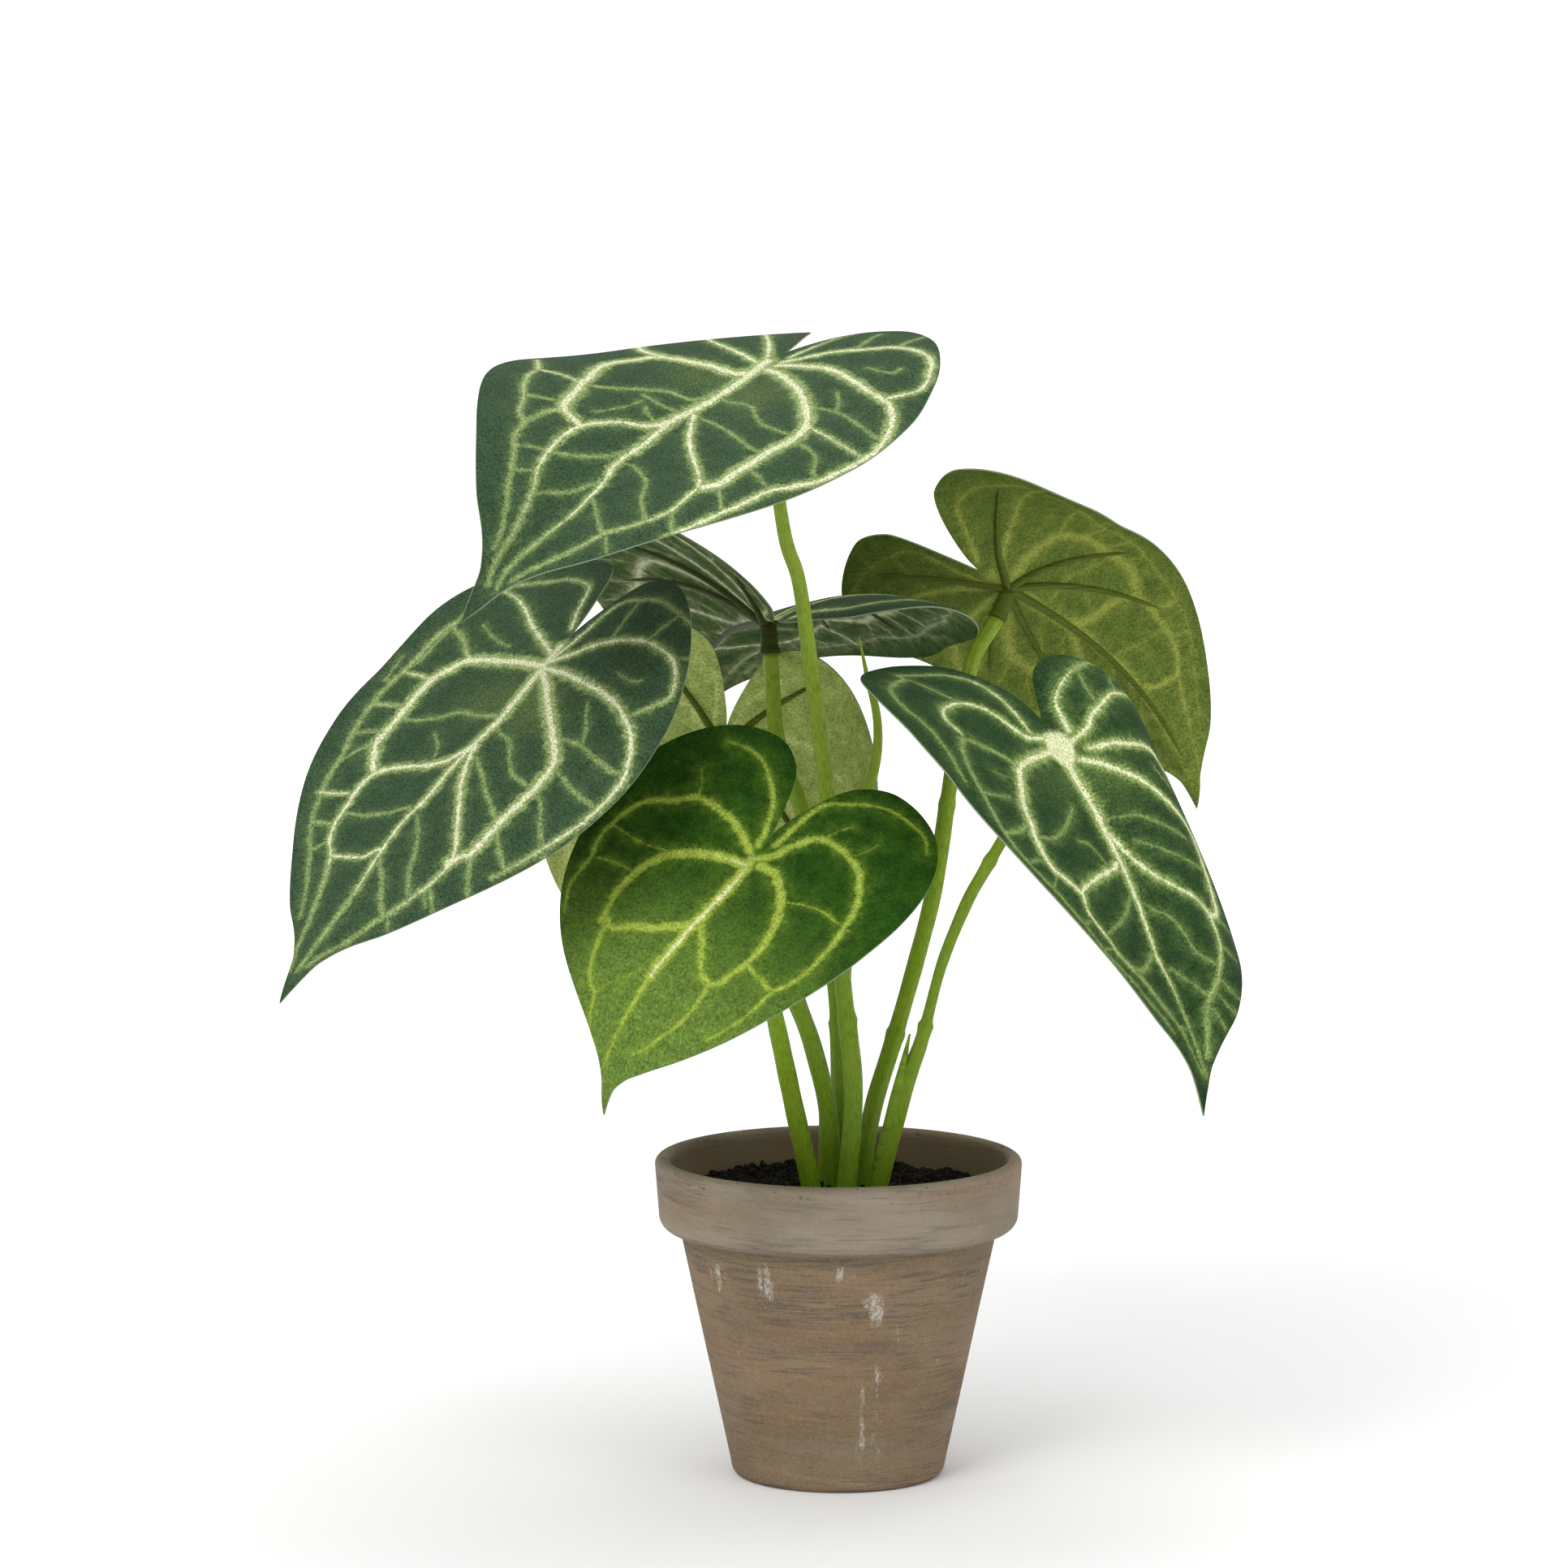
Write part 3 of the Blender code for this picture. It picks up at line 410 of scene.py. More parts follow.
# %% Fine veins of the top leaf
TOP_FINE = (
    (1.4, 1.4, ((.9, 16.5), (2.6, 20), (6.1, 20.9), (9.6, 24.3), (12.2, 27.8), (15.7, 31.3))),
    (1.2, 1.2, ((.9, 24.8), (4.3, 26.1), (8.3, 26.1))),
    (1.2, 1.0, ((2.6, 31.7), (5.2, 30.4), (6.1, 28.7))),
    (0.8, 0.7, ((7.4, 27.8), (8.3, 33), (10.4, 39.1))),
    (1.4, 1.2, ((.9, 43.5), (2.6, 47.8), (5.2, 52.2), (8.7, 56.5))),
    (1.2, 1.0, ((.4, 55.7), (1.7, 60.9), (3.5, 64.3), (4.8, 66.5))),
    (1.9, 1.9, ((17.4, 32.2), (20.9, 31.3), (25.2, 32.2))),
    (1.2, 1.2, ((15.7, 41.7), (20, 45.2))),
    (1.0, 1.0, ((10.4, 57.4), (13, 60.4))),
    (1.0, 1.0, ((8.3, 63.5), (10.4, 66.5))),
    (1.2, 1.2, ((-16.5, 57.4), (-19.6, 62.6))),
    (1.2, 1.2, ((-19.1, 46.5), (-22.6, 51.3), (-23.9, 53.5))),
    (1.9, 1.8, ((-21.3, 20), (-26.1, 21.3), (-32.6, 23))),
    (1.2, 1.0, ((-20.4, 38.3), (-23.5, 40), (-26.1, 42.2))),
    (1.2, 1.0, ((-33, 16.5), (-28.7, 14.8), (-23.5, 13), (-18.3, 13))),
    (1.0, 0.9, ((-22.6, 13), (-21.3, 9.6), (-19.1, 6.1))),
    (1.2, 1.0, ((-29.6, 33), (-27, 27.8), (-21.7, 25.7))),
    (1.2, 1.0, ((-19.1, 33), (-13.9, 30.4), (-8.7, 27.4), (-1.7, 24.3))),
    (1.2, 1.0, ((-20.4, 24.3), (-14.8, 23.5), (-11.3, 20.9), (-8.3, 17.4), (-2.6, 16.5))),
    (1.2, 1.0, ((-13, 60.4), (-10, 56.5), (-7.8, 51.3), (-5.2, 48.7), (-1.7, 46.1))),
    (1.2, 1.0, ((-8.7, 67.8), (-5.2, 63.5), (-1.7, 59.1))),
    (1.0, 0.9, ((-10, 68.3), (-13, 73))),
    (1.0, 0.9, ((-24.3, -7), (-23.9, -4.8), (-19.1, -4.8))),
    (1.4, 1.2, ((-18.7, -16.5), (-18.7, -21.7), (-19.1, -26.1))),
    (1.4, 1.2, ((-12.6, -12.6), (-11.7, -17.4), (-10.4, -25.2))),
)
print("fine veins:", len(TOP_FINE))

# %% Main veins of the right front leaf
FRONT_MAIN = (
    (4.0, 1.0, ((0, 0), (0, 9.6), (-.2, 16.5), (.2, 24.3), (.4, 30.4), (.7, 35.7), (1, 40),
                 (1.6, 46.1), (2.3, 51.3), (2.8, 56.5), (3.3, 60), (3, 63.5), (2.4, 66.1), (1.7, 70.4),
                 (1, 74.8), (.2, 79.1), (-.4, 82.6), (-1, 87), (-1.5, 90.4))),
    (3.4, 3.2, ((1.7, .9), (5.2, 2.2), (8.7, 3.5), (12.2, 5.7), (13.9, 7.8), (15.7, 12.2),
                 (17.4, 15.7), (19.1, 20), (20, 24.3), (21.3, 27.8), (22.2, 32.2), (22.6, 36.5),
                 (22.2, 39.1), (20, 41.7), (17.8, 45.2))),
    (2.8, 1.0, ((1.6, 34.8), (3.5, 36.5), (7, 38.3), (10.4, 40), (13.9, 42.2), (17, 44.3), (18.1, 47),
                 (19.1, 50.4), (18.4, 53.9), (17, 57.4), (16.1, 60.9), (14.3, 63.5), (12.2, 66.1),
                 (10, 69.1), (7.8, 73), (5.2, 76.5), (3, 80), (1.7, 83.5), (.4, 87), (-.9, 89.6))),
    (1.5, 0.9, ((20.9, -2.2), (24.3, 1.7), (26.5, 6.1), (27.8, 11.3), (28.3, 14.8), (29.1, 19.1),
                 (30, 24.3), (30.6, 29.6), (30.3, 34.8), (29.1, 39.1), (27.8, 42.6), (26.1, 46.1),
                 (24.8, 49.6), (23, 53.9), (21.7, 57.4), (20, 61.7), (17.4, 65.2), (14.8, 68.3),
                 (12.2, 72.2), (8.7, 76.5), (6.1, 80))),
    (1.5, 1.2, ((13.5, 5.7), (15.7, 1.7), (19.1, -1.7), (20.9, -2.2))),
    (2.8, 1.9, ((1.7, -2.2), (5.2, -3), (7.4, -7.8), (8.7, -10.4), (12.2, -11.7), (16.5, -10),
                 (19.1, -7.4), (19.6, -3.5))),
    (1.2, 1.0, ((11.7, -11.7), (13.9, -15.7), (15.7, -20.9))),
    (2.0, 1.1, ((3.5, -3.5), (3.9, -13), (5.2, -19.1), (8.3, -22.6), (12.2, -23), (15.7, -23),
                 (16.5, -20.9), (20, -18.3), (23.5, -14.8), (25.7, -10.4), (26.5, -4.3), (28.7, 2.6),
                 (31.3, 12.2))),
    (2.8, 3.0, ((-2.6, 5.2), (-5.2, 7.8), (-8.7, 12.2), (-12.2, 16.5), (-15.7, 21.7), (-18.3, 26.1),
                 (-19.1, 30.4), (-18.3, 35.7), (-17.4, 40), (-16.1, 46.1), (-15.2, 50.4),
                 (-13.9, 52.6), (-12.2, 52.6))),
    (2.5, 1.4, ((-.4, 26.1), (-1.3, 30.4), (-2.6, 35.7), (-4.3, 40), (-7, 44.3), (-10, 47.8),
                 (-11.7, 51.3), (-12.2, 56.5), (-11.7, 60.9), (-10, 65.2), (-7.8, 69.6), (-5.2, 73),
                 (-3.9, 77.4), (-3, 82.6), (-2.2, 86.1))),
    (2.8, 1.8, ((-5.2, 3.5), (-8.7, 3.9), (-13.9, 4.8), (-18.3, 5.7), (-19.6, 7.4), (-25.7, 24.3),
                 (-25.7, 30.4), (-26.1, 35.7), (-27, 40), (-27.4, 44.3), (-25.7, 49.6), (-23.9, 53))),
    (2.8, 1.7, ((-2.6, 0), (-7, -1.7), (-10.4, -5.2), (-14.8, -8.3), (-19.1, -11.3), (-23.5, -12.2),
                 (-28.7, -13.5))),
    (2.5, 1.5, ((-4.3, -3.5), (-4.8, -9.6), (-5.7, -14.8), (-9.6, -19.1), (-13.9, -21.7),
                 (-18.3, -23.5), (-22.6, -24.8))),
)
print("main veins:", len(FRONT_MAIN))

# %% Fine veins of the right front leaf
FRONT_FINE = (
    (1.0, 1.0, ((20.9, 16.1), (24.3, 16.1), (28.3, 15.2))),
    (1.4, 1.4, ((21.7, 25.2), (25.2, 27.4), (29.6, 28.7))),
    (1.0, 1.2, ((5.2, 18.3), (8.7, 22.6), (12.2, 26.1), (16.5, 28.7), (20.9, 28.7))),
    (1.3, 1.3, ((3.9, 60), (7.8, 63.5), (10.4, 65.2), (13.9, 64.3))),
    (1.2, 1.0, ((2.6, 44.3), (6.1, 48.7), (10.4, 52.6), (15.7, 55.7))),
    (0.9, 0.7, ((21.7, 40), (24.3, 42.6), (26.1, 44.8))),
    (0.9, 0.7, ((23, 36.1), (27, 37), (29.6, 38.3))),
    (0.7, 0.6, ((15.7, 10.4), (20.9, 7.8))),
    (0.7, 0.6, ((5.2, 33.9), (6.1, 31.3))),
    (0.9, 0.7, ((-4.8, 71.7), (-2.6, 67.8), (0, 63.9))),
    (0.9, 0.7, ((-8.3, 64.3), (-5.7, 60.9), (-4.3, 53), (-1.7, 48.7), (0, 46.1))),
    (0.9, 0.7, ((-15.7, 40), (-9.6, 35.7), (-4.3, 30.4))),
    (0.9, 0.7, ((-15.2, 31.7), (-10, 27), (-7, 24.3), (-2.6, 22.6))),
    (1.0, 0.9, ((-13.5, -8.3), (-13.9, -13.9), (-14.8, -20))),
    (0.9, 0.7, ((-22.2, -13), (-22.6, -16.5), (-24.8, -19.6))),
    (0.7, 0.7, ((-16, 64), (-12.5, 60.5))),
    (0.7, 0.7, ((-18, 57), (-14.5, 53))),
    (0.9, 0.8, ((0.9, 79.1), (2.6, 78.9), (3.9, 78.3))),
    (0.9, 0.8, ((16.5, 60.0), (19.5, 60.3))),
    (0.9, 0.8, ((18.5, 53.0), (20.4, 53.4), (22.5, 54.3))),
    (0.8, 0.7, ((-7.0, 80.4), (-6.6, 78.0), (-5.7, 75.7))),
    (0.8, 0.7, ((-10.4, 77.0), (-9.0, 75.2), (-7.8, 73.0))),
    (0.8, 0.7, ((-13.5, 74.3), (-11.4, 72.4), (-9.6, 69.6))),
    (0.8, 0.7, ((6.0, 31.0), (7.2, 29.3), (9.1, 28.7))),
    (0.9, 0.7, ((-19.1, 15.7), (-17.4, 13.0), (-16.6, 10.8))),
)
print("fine veins:", len(FRONT_FINE))

# %% Which print each leaf has
HEART, LONG = (HEART_MAIN, HEART_FINE), (LONG_MAIN, LONG_FINE)
LEAF_VEINS = {1: (TOP_MAIN, TOP_FINE), 2: LONG, 3: LONG, 4: LONG, 5: HEART,
              6: (FRONT_MAIN, FRONT_FINE), 7: HEART}
print("veins:", {n: len(main) + len(fine) for n, (main, fine) in LEAF_VEINS.items()})

# %% [markdown]
# Laying the veins on a leaf
# A print is drawn once and laid on leaves of different outlines, so a vein's points are kept as
# an angle and a share of the way to the margin. Veins that meet can't share one vector to the
# nearest line, because it would jump half way between them. So they are dealt out to a few
# fields in which neighbours don't meet, and the material takes the strongest of the fields.

# %% A vein as a dense flat curve
VEIN_STEPS = 7            # points from one reading to the next


def smooth_curve(knots, steps):
    """A Catmull-Rom curve. With a, b, c, d four knots in a row, the stretch from b to c is
    half of 2b + (c-a)t + (2a-5b+4c-d)t^2 + (3b-a-3c+d)t^3 for t from 0 to 1."""
    ends = np.vstack([2 * knots[0] - knots[1], knots, 2 * knots[-1] - knots[-2]])
    a, b, c, d = (ends[i:len(ends) - 3 + i, None] for i in range(4))
    t = np.linspace(0, 1, steps, endpoint=False)[None, :, None]
    curve = 0.5 * (2 * b + (c - a) * t + (2 * a - 5 * b + 4 * c - d) * t**2
                   + (3 * b - a - 3 * c + d) * t**3)
    return np.vstack([curve.reshape(-1, knots.shape[1]), knots[-1:]])


def flat_vein(leaf, points):
    """A vein on this leaf, in millimetres. Its points become polar, their radius is taken as
    a share of the plain outline's radius and set out again with this leaf's own outline, so
    the print follows its lobes and its width."""
    x, y = np.array(points, float).T / 100
    theta = np.arctan2(x, y)
    share = np.hypot(x, y) / pattern_radius(leaf, theta)
    radius = share * outline_radius(leaf, theta) * 1000
    return smooth_curve(np.stack(flat_point(leaf, theta, radius), axis=1), VEIN_STEPS)


print("points on the first vein:", len(flat_vein(LEAVES[1], LEAF_VEINS[1][0][0][2])))

# %% Join the fine veins and deal them all out
VEIN_FIELDS = 5
CLOSE = 4.0               # millimetres within which two veins shouldn't share a field
JOIN = 5.0                # a fine vein that ends within these millimetres runs on
FULLER = 0.01             # what a vein already in a field counts, so the fields fill evenly


def joined_to(main, curve):
    """A fine vein whose end is within JOIN millimetres of a main vein runs on to it."""
    for end in (0, -1):
        away = np.linalg.norm(main - curve[end], axis=1)
        if 0.01 < away.min() < JOIN:
            foot = main[away.argmin()][None]
            curve = np.vstack([foot, curve]) if end == 0 else np.vstack([curve, foot])
    return curve


def vein_fields(leaf, main_veins, fine_veins):
    """Deal the veins out to the fields. Each goes to the field where the least of it runs
    within CLOSE millimetres of a vein already there."""
    fields = [[] for _ in range(VEIN_FIELDS)]
    main = [(first, last, flat_vein(leaf, points)) for first, last, points in main_veins]
    trunk = np.vstack([curve for _, _, curve in main])
    fine = [(first, last, joined_to(trunk, flat_vein(leaf, points)))
            for first, last, points in fine_veins]
    for first, last, curve in main + fine:
        cost = [sum((np.linalg.norm(curve[:, None] - other[None], axis=2).min(1) < CLOSE).sum()
                    for _, _, other in field) + FULLER * len(field) for field in fields]
        fields[int(np.argmin(cost))].append((first, last, curve))
    return fields


print("the veins are dealt out to", VEIN_FIELDS, "fields")

# %% The way to the nearest vein
def nearest_vein(field, where):
    """For flat points in millimetres: the vector to the nearest vein's centre line, its
    length, and the vein's half width there. The nearest vein is the one whose edge is
    nearest, and on each vein the foot of the perpendicular is held between its two ends."""
    best = np.full(len(where), 1e9)
    vector, width = np.zeros((len(where), 2)), np.zeros(len(where))
    for first, last, curve in field:
        start, run = curve[:-1], np.diff(curve, axis=0)
        offset = where[:, None] - start[None]
        t = np.clip((offset * run).sum(-1) / (run * run).sum(-1), 0, 1)
        to_foot = t[..., None] * run - offset
        distance = np.linalg.norm(to_foot, axis=-1)
        pick = distance.argmin(axis=1)
        rows = np.arange(len(where))
        half = first + (last - first) * (pick + t[rows, pick]) / len(run)
        edge = distance[rows, pick] - half
        better = edge < best
        best = np.where(better, edge, best)
        width = np.where(better, half, width)
        vector[better] = to_foot[rows, pick][better]
    return np.column_stack([vector, width]), np.linalg.norm(vector, axis=1)


LEAF_FIELDS = {n: vein_fields(leaf, *LEAF_VEINS[n]) for n, leaf in LEAVES.items()}
print("veins in each field:", {n: [len(f) for f in fields] for n, fields in LEAF_FIELDS.items()})

# %% [markdown]
# A blade's mesh
# The blade is a grid: one parameter runs along the margin from the tip to the notch, the
# other from the left margin over the midrib to the right margin. It could be cut from a
# square grid, but then the margin would be jagged. Both faces are the same grid moved half
# the fabric's thickness along the normal, and a narrow rim closes them.

# %% Even points on the margin
MARGIN_STEPS, ACROSS_STEPS = 170, 44
MARGIN_SAMPLES = 4001
NOTCH_FROM = 0.9          # from this share of the steps on, the midline runs into the notch


def margin(leaf, side, count):
    """Points spaced evenly by length along one half of the margin, from tip to notch."""
    share = np.linspace(0, 1, MARGIN_SAMPLES)
    theta = side * np.pi * share
    x, y = flat_point(leaf, theta, outline_radius(leaf, theta))
    walked = np.concatenate([[0], np.cumsum(np.hypot(np.diff(x), np.diff(y)))])
    even = np.interp(np.linspace(0, walked[-1], count + 1), walked, share)
    return np.stack([np.interp(even, share, x), np.interp(even, share, y)], axis=1)


print("points on half a margin:", len(margin(LEAVES[1], 1, MARGIN_STEPS)))

# %% The flat grid of a blade
def blade_grid(leaf):
    """Flat grid points: from a point of the midline straight to its point of the margin.

    The midline point runs from the tip to the joint as the margin point's height above the
    joint to the power 1.2, waits at the joint for the lobes, and ends in the notch.
    """
    edges = [margin(leaf, side, MARGIN_STEPS) for side in (-1, 1)]
    height = np.clip(edges[1][:, 1] / leaf.length, 0, 1)
    notch = outline_radius(leaf, np.array([np.pi]))[0]
    share = np.linspace(0, 1, MARGIN_STEPS + 1)
    middle = leaf.length * height**1.2 - notch * smooth_between(share, NOTCH_FROM, 1.0)
    v = np.linspace(0, 1, ACROSS_STEPS + 1)[None, 1:, None]
    centre = np.stack([np.zeros_like(middle), middle], axis=1)[:, None]
    right = centre + v * (edges[1][:, None] - centre)
    left = centre + v * (edges[0][:, None] - centre)
    return np.concatenate([left[:, ::-1], centre, right], axis=1)


print("flat grid of leaf 1:", blade_grid(LEAVES[1]).shape[:2])

# %% Weld the grid and cut it into triangles
def weld(points):
    """Indices that give points at the same place one number, and where each number is."""
    _, first, number = np.unique(np.round(points, 7), axis=0, return_index=True,
                                 return_inverse=True)
    return number.reshape(-1), first


def triangles_of(index):
    """Two triangles for each cell of a grid of vertex numbers, without collapsed ones."""
    a, b, c, d = index[:-1, :-1], index[1:, :-1], index[1:, 1:], index[:-1, 1:]
    faces = np.concatenate([np.stack([a, b, c], -1).reshape(-1, 3),
                            np.stack([a, c, d], -1).reshape(-1, 3)])
    a, b, c = faces.T
    return faces[(a != b) & (b != c) & (c != a)]


print("one cell becomes", triangles_of(np.arange(4).reshape(2, 2)).tolist())

# %% From points and faces to a piece
def mesh_piece(name, points, faces, materials, face_material=None):
    """A smooth-shaded mesh object at the origin. The faces are an array, or a list where
    triangles and quads are mixed."""
    mesh = bpy.data.meshes.new(name)
    mesh.from_pydata(np.asarray(points).tolist(), [],
                     faces.tolist() if isinstance(faces, np.ndarray) else faces)
    for mat in materials:
        mesh.materials.append(mat)
    if face_material is not None:
        mesh.polygons.foreach_set("material_index", np.asarray(face_material, np.int32))
    mesh.shade_smooth()
    piece = bpy.data.objects.new(name, mesh)
    bpy.context.scene.collection.objects.link(piece)
    return piece


def add_attribute(piece, name, values):
    """Store one number or one vector per vertex; a pair becomes a vector with z = 0."""
    values = np.asarray(values, np.float32)
    kind, field = ("FLOAT", "value") if values.ndim == 1 else ("FLOAT_VECTOR", "vector")
    if values.ndim == 2 and values.shape[1] == 2:
        values = np.column_stack([values, np.zeros(len(values), np.float32)])
    piece.data.attributes.new(name, kind, "POINT").data.foreach_set(field, values.ravel())


def add_uv(piece, uv):
    """A UV map from one pair of numbers per vertex."""
    corner = np.zeros(len(piece.data.loops), np.int32)
    piece.data.loops.foreach_get("vertex_index", corner)
    layer = piece.data.uv_layers.new(name="fabric")
    layer.uv.foreach_set("vector", np.asarray(uv, np.float32)[corner].ravel())


print("helpers: mesh_piece, add_attribute and add_uv")

# %% Lighter areas of the print
# How strongly the print pales round the joint of each leaf
PALE_JOINT = {1: 0.55, 2: 0.55, 3: 0.5, 4: 0.4, 5: 0.45, 6: 1.9, 7: 0.4}


def soft_spot(x, y, at, wide, tall):
    """exp(-(dx/wide)^2 - (dy/tall)^2), in shares of the leaf's length from the joint."""
    return np.exp(-((x - at[0]) / wide) ** 2 - ((y - at[1]) / tall) ** 2)


def light_areas(leaf, x, y):
    """Where the ground is lighter: on a long leaf two soft spots beside the joint, on a heart
    everything towards the tip, sooner near the midrib."""
    if leaf.outline == "heart":
        return smooth_between(y - 0.3 * np.abs(x), -0.05, 0.6)
    return (soft_spot(x, y, (-0.08, 0.13), 0.07, 0.07)
            + 0.8 * soft_spot(x, y, (0.07, 0.11), 0.08, 0.07))


print("paler round the joint by", PALE_JOINT)

# %% Close a blade
BLADE_THICKNESS = 0.00055
RIM_ANGLE = math.radians(80)


def closed_blade(leaf, grid):
    """Flat points, then the points, faces and material numbers of the closed blade: the upper
    face, the underside with its faces turned round, and the rim between their margins."""
    index, first = weld(grid.reshape(-1, 2))
    index = index.reshape(grid.shape[:2])
    flat = grid.reshape(-1, 2)[first]
    count = len(flat)
    half = face_normal(leaf, flat[:, 0], flat[:, 1]) * BLADE_THICKNESS / 2
    middle = bent(leaf, flat[:, 0], flat[:, 1])
    top = triangles_of(index)
    loop = np.concatenate([index[:, -1], index[::-1, 0]])
    loop = loop[np.concatenate([[True], loop[1:] != loop[:-1]])]
    a, b = loop[:-1], loop[1:]
    rim = np.concatenate([np.stack([a, b, b + count], -1),
                          np.stack([a, b + count, a + count], -1)])
    faces = np.concatenate([top, top[:, ::-1] + count, rim])
    slots = np.repeat([0, 1, 2], [len(top), len(top), len(rim)])
    return flat, np.vstack([middle + half, middle - half]), faces, slots


print("corners of blade 1:", len(closed_blade(LEAVES[1], blade_grid(LEAVES[1]))[1]))

# %% Store the print on a blade
def make_blade(number, leaf, materials):
    """The fabric blade of one leaf, with its vein fields and a UV map in decimetres."""
    flat, points, faces, slots = closed_blade(leaf, blade_grid(leaf))
    piece = mesh_piece(f"blade_{number}", points, faces, materials, slots)
    piece.data.set_sharp_from_angle(angle=RIM_ANGLE)
    for field_number, field in enumerate(LEAF_FIELDS[number]):
        line, gap = nearest_vein(field, flat * 1000)
        add_attribute(piece, f"vein_{field_number}", np.vstack([line, line]))
        add_attribute(piece, f"gap_{field_number}", np.tile(gap, 2))
    x, y = flat.T / leaf.length
    add_attribute(piece, "light", np.tile(light_areas(leaf, x, y), 2))
    pale = PALE_JOINT[number] * soft_spot(x, y, (0.0, 0.005), 0.034, 0.05)
    add_attribute(piece, "joint", np.tile(pale, 2))
    add_uv(piece, np.vstack([flat, flat]) * 10)
    return piece


print("blade grid:", MARGIN_STEPS, "steps along the margin,", 2 * ACROSS_STEPS, "across")

# %% [markdown]
# Shader helpers
# A material in Blender is a graph of nodes. Writing it out by hand is long, so a few small
# helpers place a node and link its inputs. What several materials share becomes a node
# group: here the vein mask and the weave of the fabric.

# %% Place and link nodes
def put(tree, kind, inputs=None, **settings):
    """Place a node, set its properties, and link or set its inputs."""
    node = tree.nodes.new(kind)
    for key, value in settings.items():
        setattr(node, key, value)
    for key, value in (inputs or {}).items():
        if isinstance(value, bpy.types.NodeSocket):
            tree.links.new(value, node.inputs[key])
        else:
            node.inputs[key].default_value = value
    return node


def calc(tree, operation, *values, clamp=False):
    """The output of a Math node."""
    return put(tree, "ShaderNodeMath", dict(enumerate(values)), operation=operation,
               use_clamp=clamp).outputs[0]


def blend(tree, factor, low, high):
    """The output of a colour Mix node: low where the factor is 0, high where it is 1."""
    low, high = (c if isinstance(c, bpy.types.NodeSocket) else (*c, 1.0) for c in (low, high))
    return put(tree, "ShaderNodeMix", {0: factor, 6: low, 7: high}, data_type="RGBA").outputs[2]


def ramp(tree, value, start, end, low=0.0, high=1.0):
    """A smooth rise from low to high as the value goes from start to end."""
    return put(tree, "ShaderNodeMapRange", {"Value": value, "From Min": start, "From Max": end,
                                            "To Min": low, "To Max": high},
               interpolation_type="SMOOTHSTEP").outputs["Result"]


print("node helpers: put, calc, blend and ramp")

# %% Noise, parts of a vector and stored values
def noise(tree, where, scale, detail=2.0, rough=0.5, stretch=None):
    """A noise value about 0.5 on coordinates, which may be stretched first."""
    if stretch is not None:
        where = put(tree, "ShaderNodeMapping", {"Vector": where, "Scale": stretch}).outputs[0]
    return put(tree, "ShaderNodeTexNoise", {"Vector": where, "Scale": scale, "Detail": detail,
                                            "Roughness": rough}).outputs["Fac"]


def varied(tree, value, pattern, strength):
    """The value plus strength times how far the pattern is above 0.5."""
    return calc(tree, "MULTIPLY_ADD", calc(tree, "SUBTRACT", pattern, 0.5), strength, value)


def split(tree, vector):
    """The three parts of a vector."""
    return put(tree, "ShaderNodeSeparateXYZ", {0: vector}).outputs


def stored(tree, name, output="Fac"):
    """What a piece keeps for each vertex under a name."""
    return put(tree, "ShaderNodeAttribute", attribute_name=name).outputs[output]


print("more helpers: noise, varied, split and stored")

# %% Groups and materials
def new_group(name, inputs, outputs):
    """An empty node group with the named sockets, and its input and output nodes."""
    tree = bpy.data.node_groups.new(name, "ShaderNodeTree")
    for key, kind, value in inputs:
        socket = tree.interface.new_socket(key, in_out="INPUT", socket_type=kind)
        if value is not None:
            socket.default_value = value
    for key, kind in outputs:
        tree.interface.new_socket(key, in_out="OUTPUT", socket_type=kind)
    given, result = tree.nodes.new("NodeGroupInput"), tree.nodes.new("NodeGroupOutput")
    return tree, given.outputs, result.inputs


def use(tree, group, inputs):
    """Place a group with its own values."""
    return put(tree, "ShaderNodeGroup", inputs, node_tree=group).outputs


def new_material(name, roughness=0.6, **constants):
    """A material with its Principled shader; plain numbers are set on the shader itself."""
    mat = bpy.data.materials.new(name)
    mat.use_nodes = True
    shader = mat.node_tree.nodes["Principled BSDF"]
    shader.inputs["Roughness"].default_value = roughness
    for key, value in constants.items():
        shader.inputs[key.replace("_", " ")].default_value = value
    return mat, mat.node_tree, shader


def finish_surface(tree, shader, colour, height, strength, distance):
    """Link a colour to the shader, and a height as a bump of this strength and distance."""
    tree.links.new(colour, shader.inputs["Base Color"])
    bump = put(tree, "ShaderNodeBump", {"Height": height, "Strength": strength,
                                        "Distance": distance})
    tree.links.new(bump.outputs[0], shader.inputs["Normal"])


print("and: new_group, use, new_material and finish_surface")

# %% [markdown]
# The vein mask and the weave
# Seen close, a printed vein has a pale core, a broader green band and a ragged edge, because
# the colour bleeds along the threads. A painted mask would fix its sharpness for good. These
# two groups work it out from the stored vectors instead: one turns the way to the nearest vein
# into a depth below its edge and a core, the other gives the threads and the grain of the cloth.

# %% The vein mask as a node group
FLOAT, VECTOR = "NodeSocketFloat", "NodeSocketVector"
GUARD = 0.9               # more than half the longest mesh edge, in millimetres
CORE_SOFT = 0.35          # half the width of the core's soft edge, in millimetres
vein_mask, given, result = new_group(
    "vein mask",
    [("Line", VECTOR, None), ("Gap", FLOAT, 0.0), ("Ragged", FLOAT, 0.0),
     ("Core Start", FLOAT, 1.1), ("Core Slope", FLOAT, 0.42), ("Core Gate", FLOAT, 1.6)],
    [("Depth", FLOAT), ("Core", FLOAT)])
line_x, line_y, half_width = split(vein_mask, given["Line"])
flat_line = put(vein_mask, "ShaderNodeCombineXYZ", {0: line_x, 1: line_y}).outputs[0]
length = put(vein_mask, "ShaderNodeVectorMath", {0: flat_line}, operation="LENGTH").outputs["Value"]
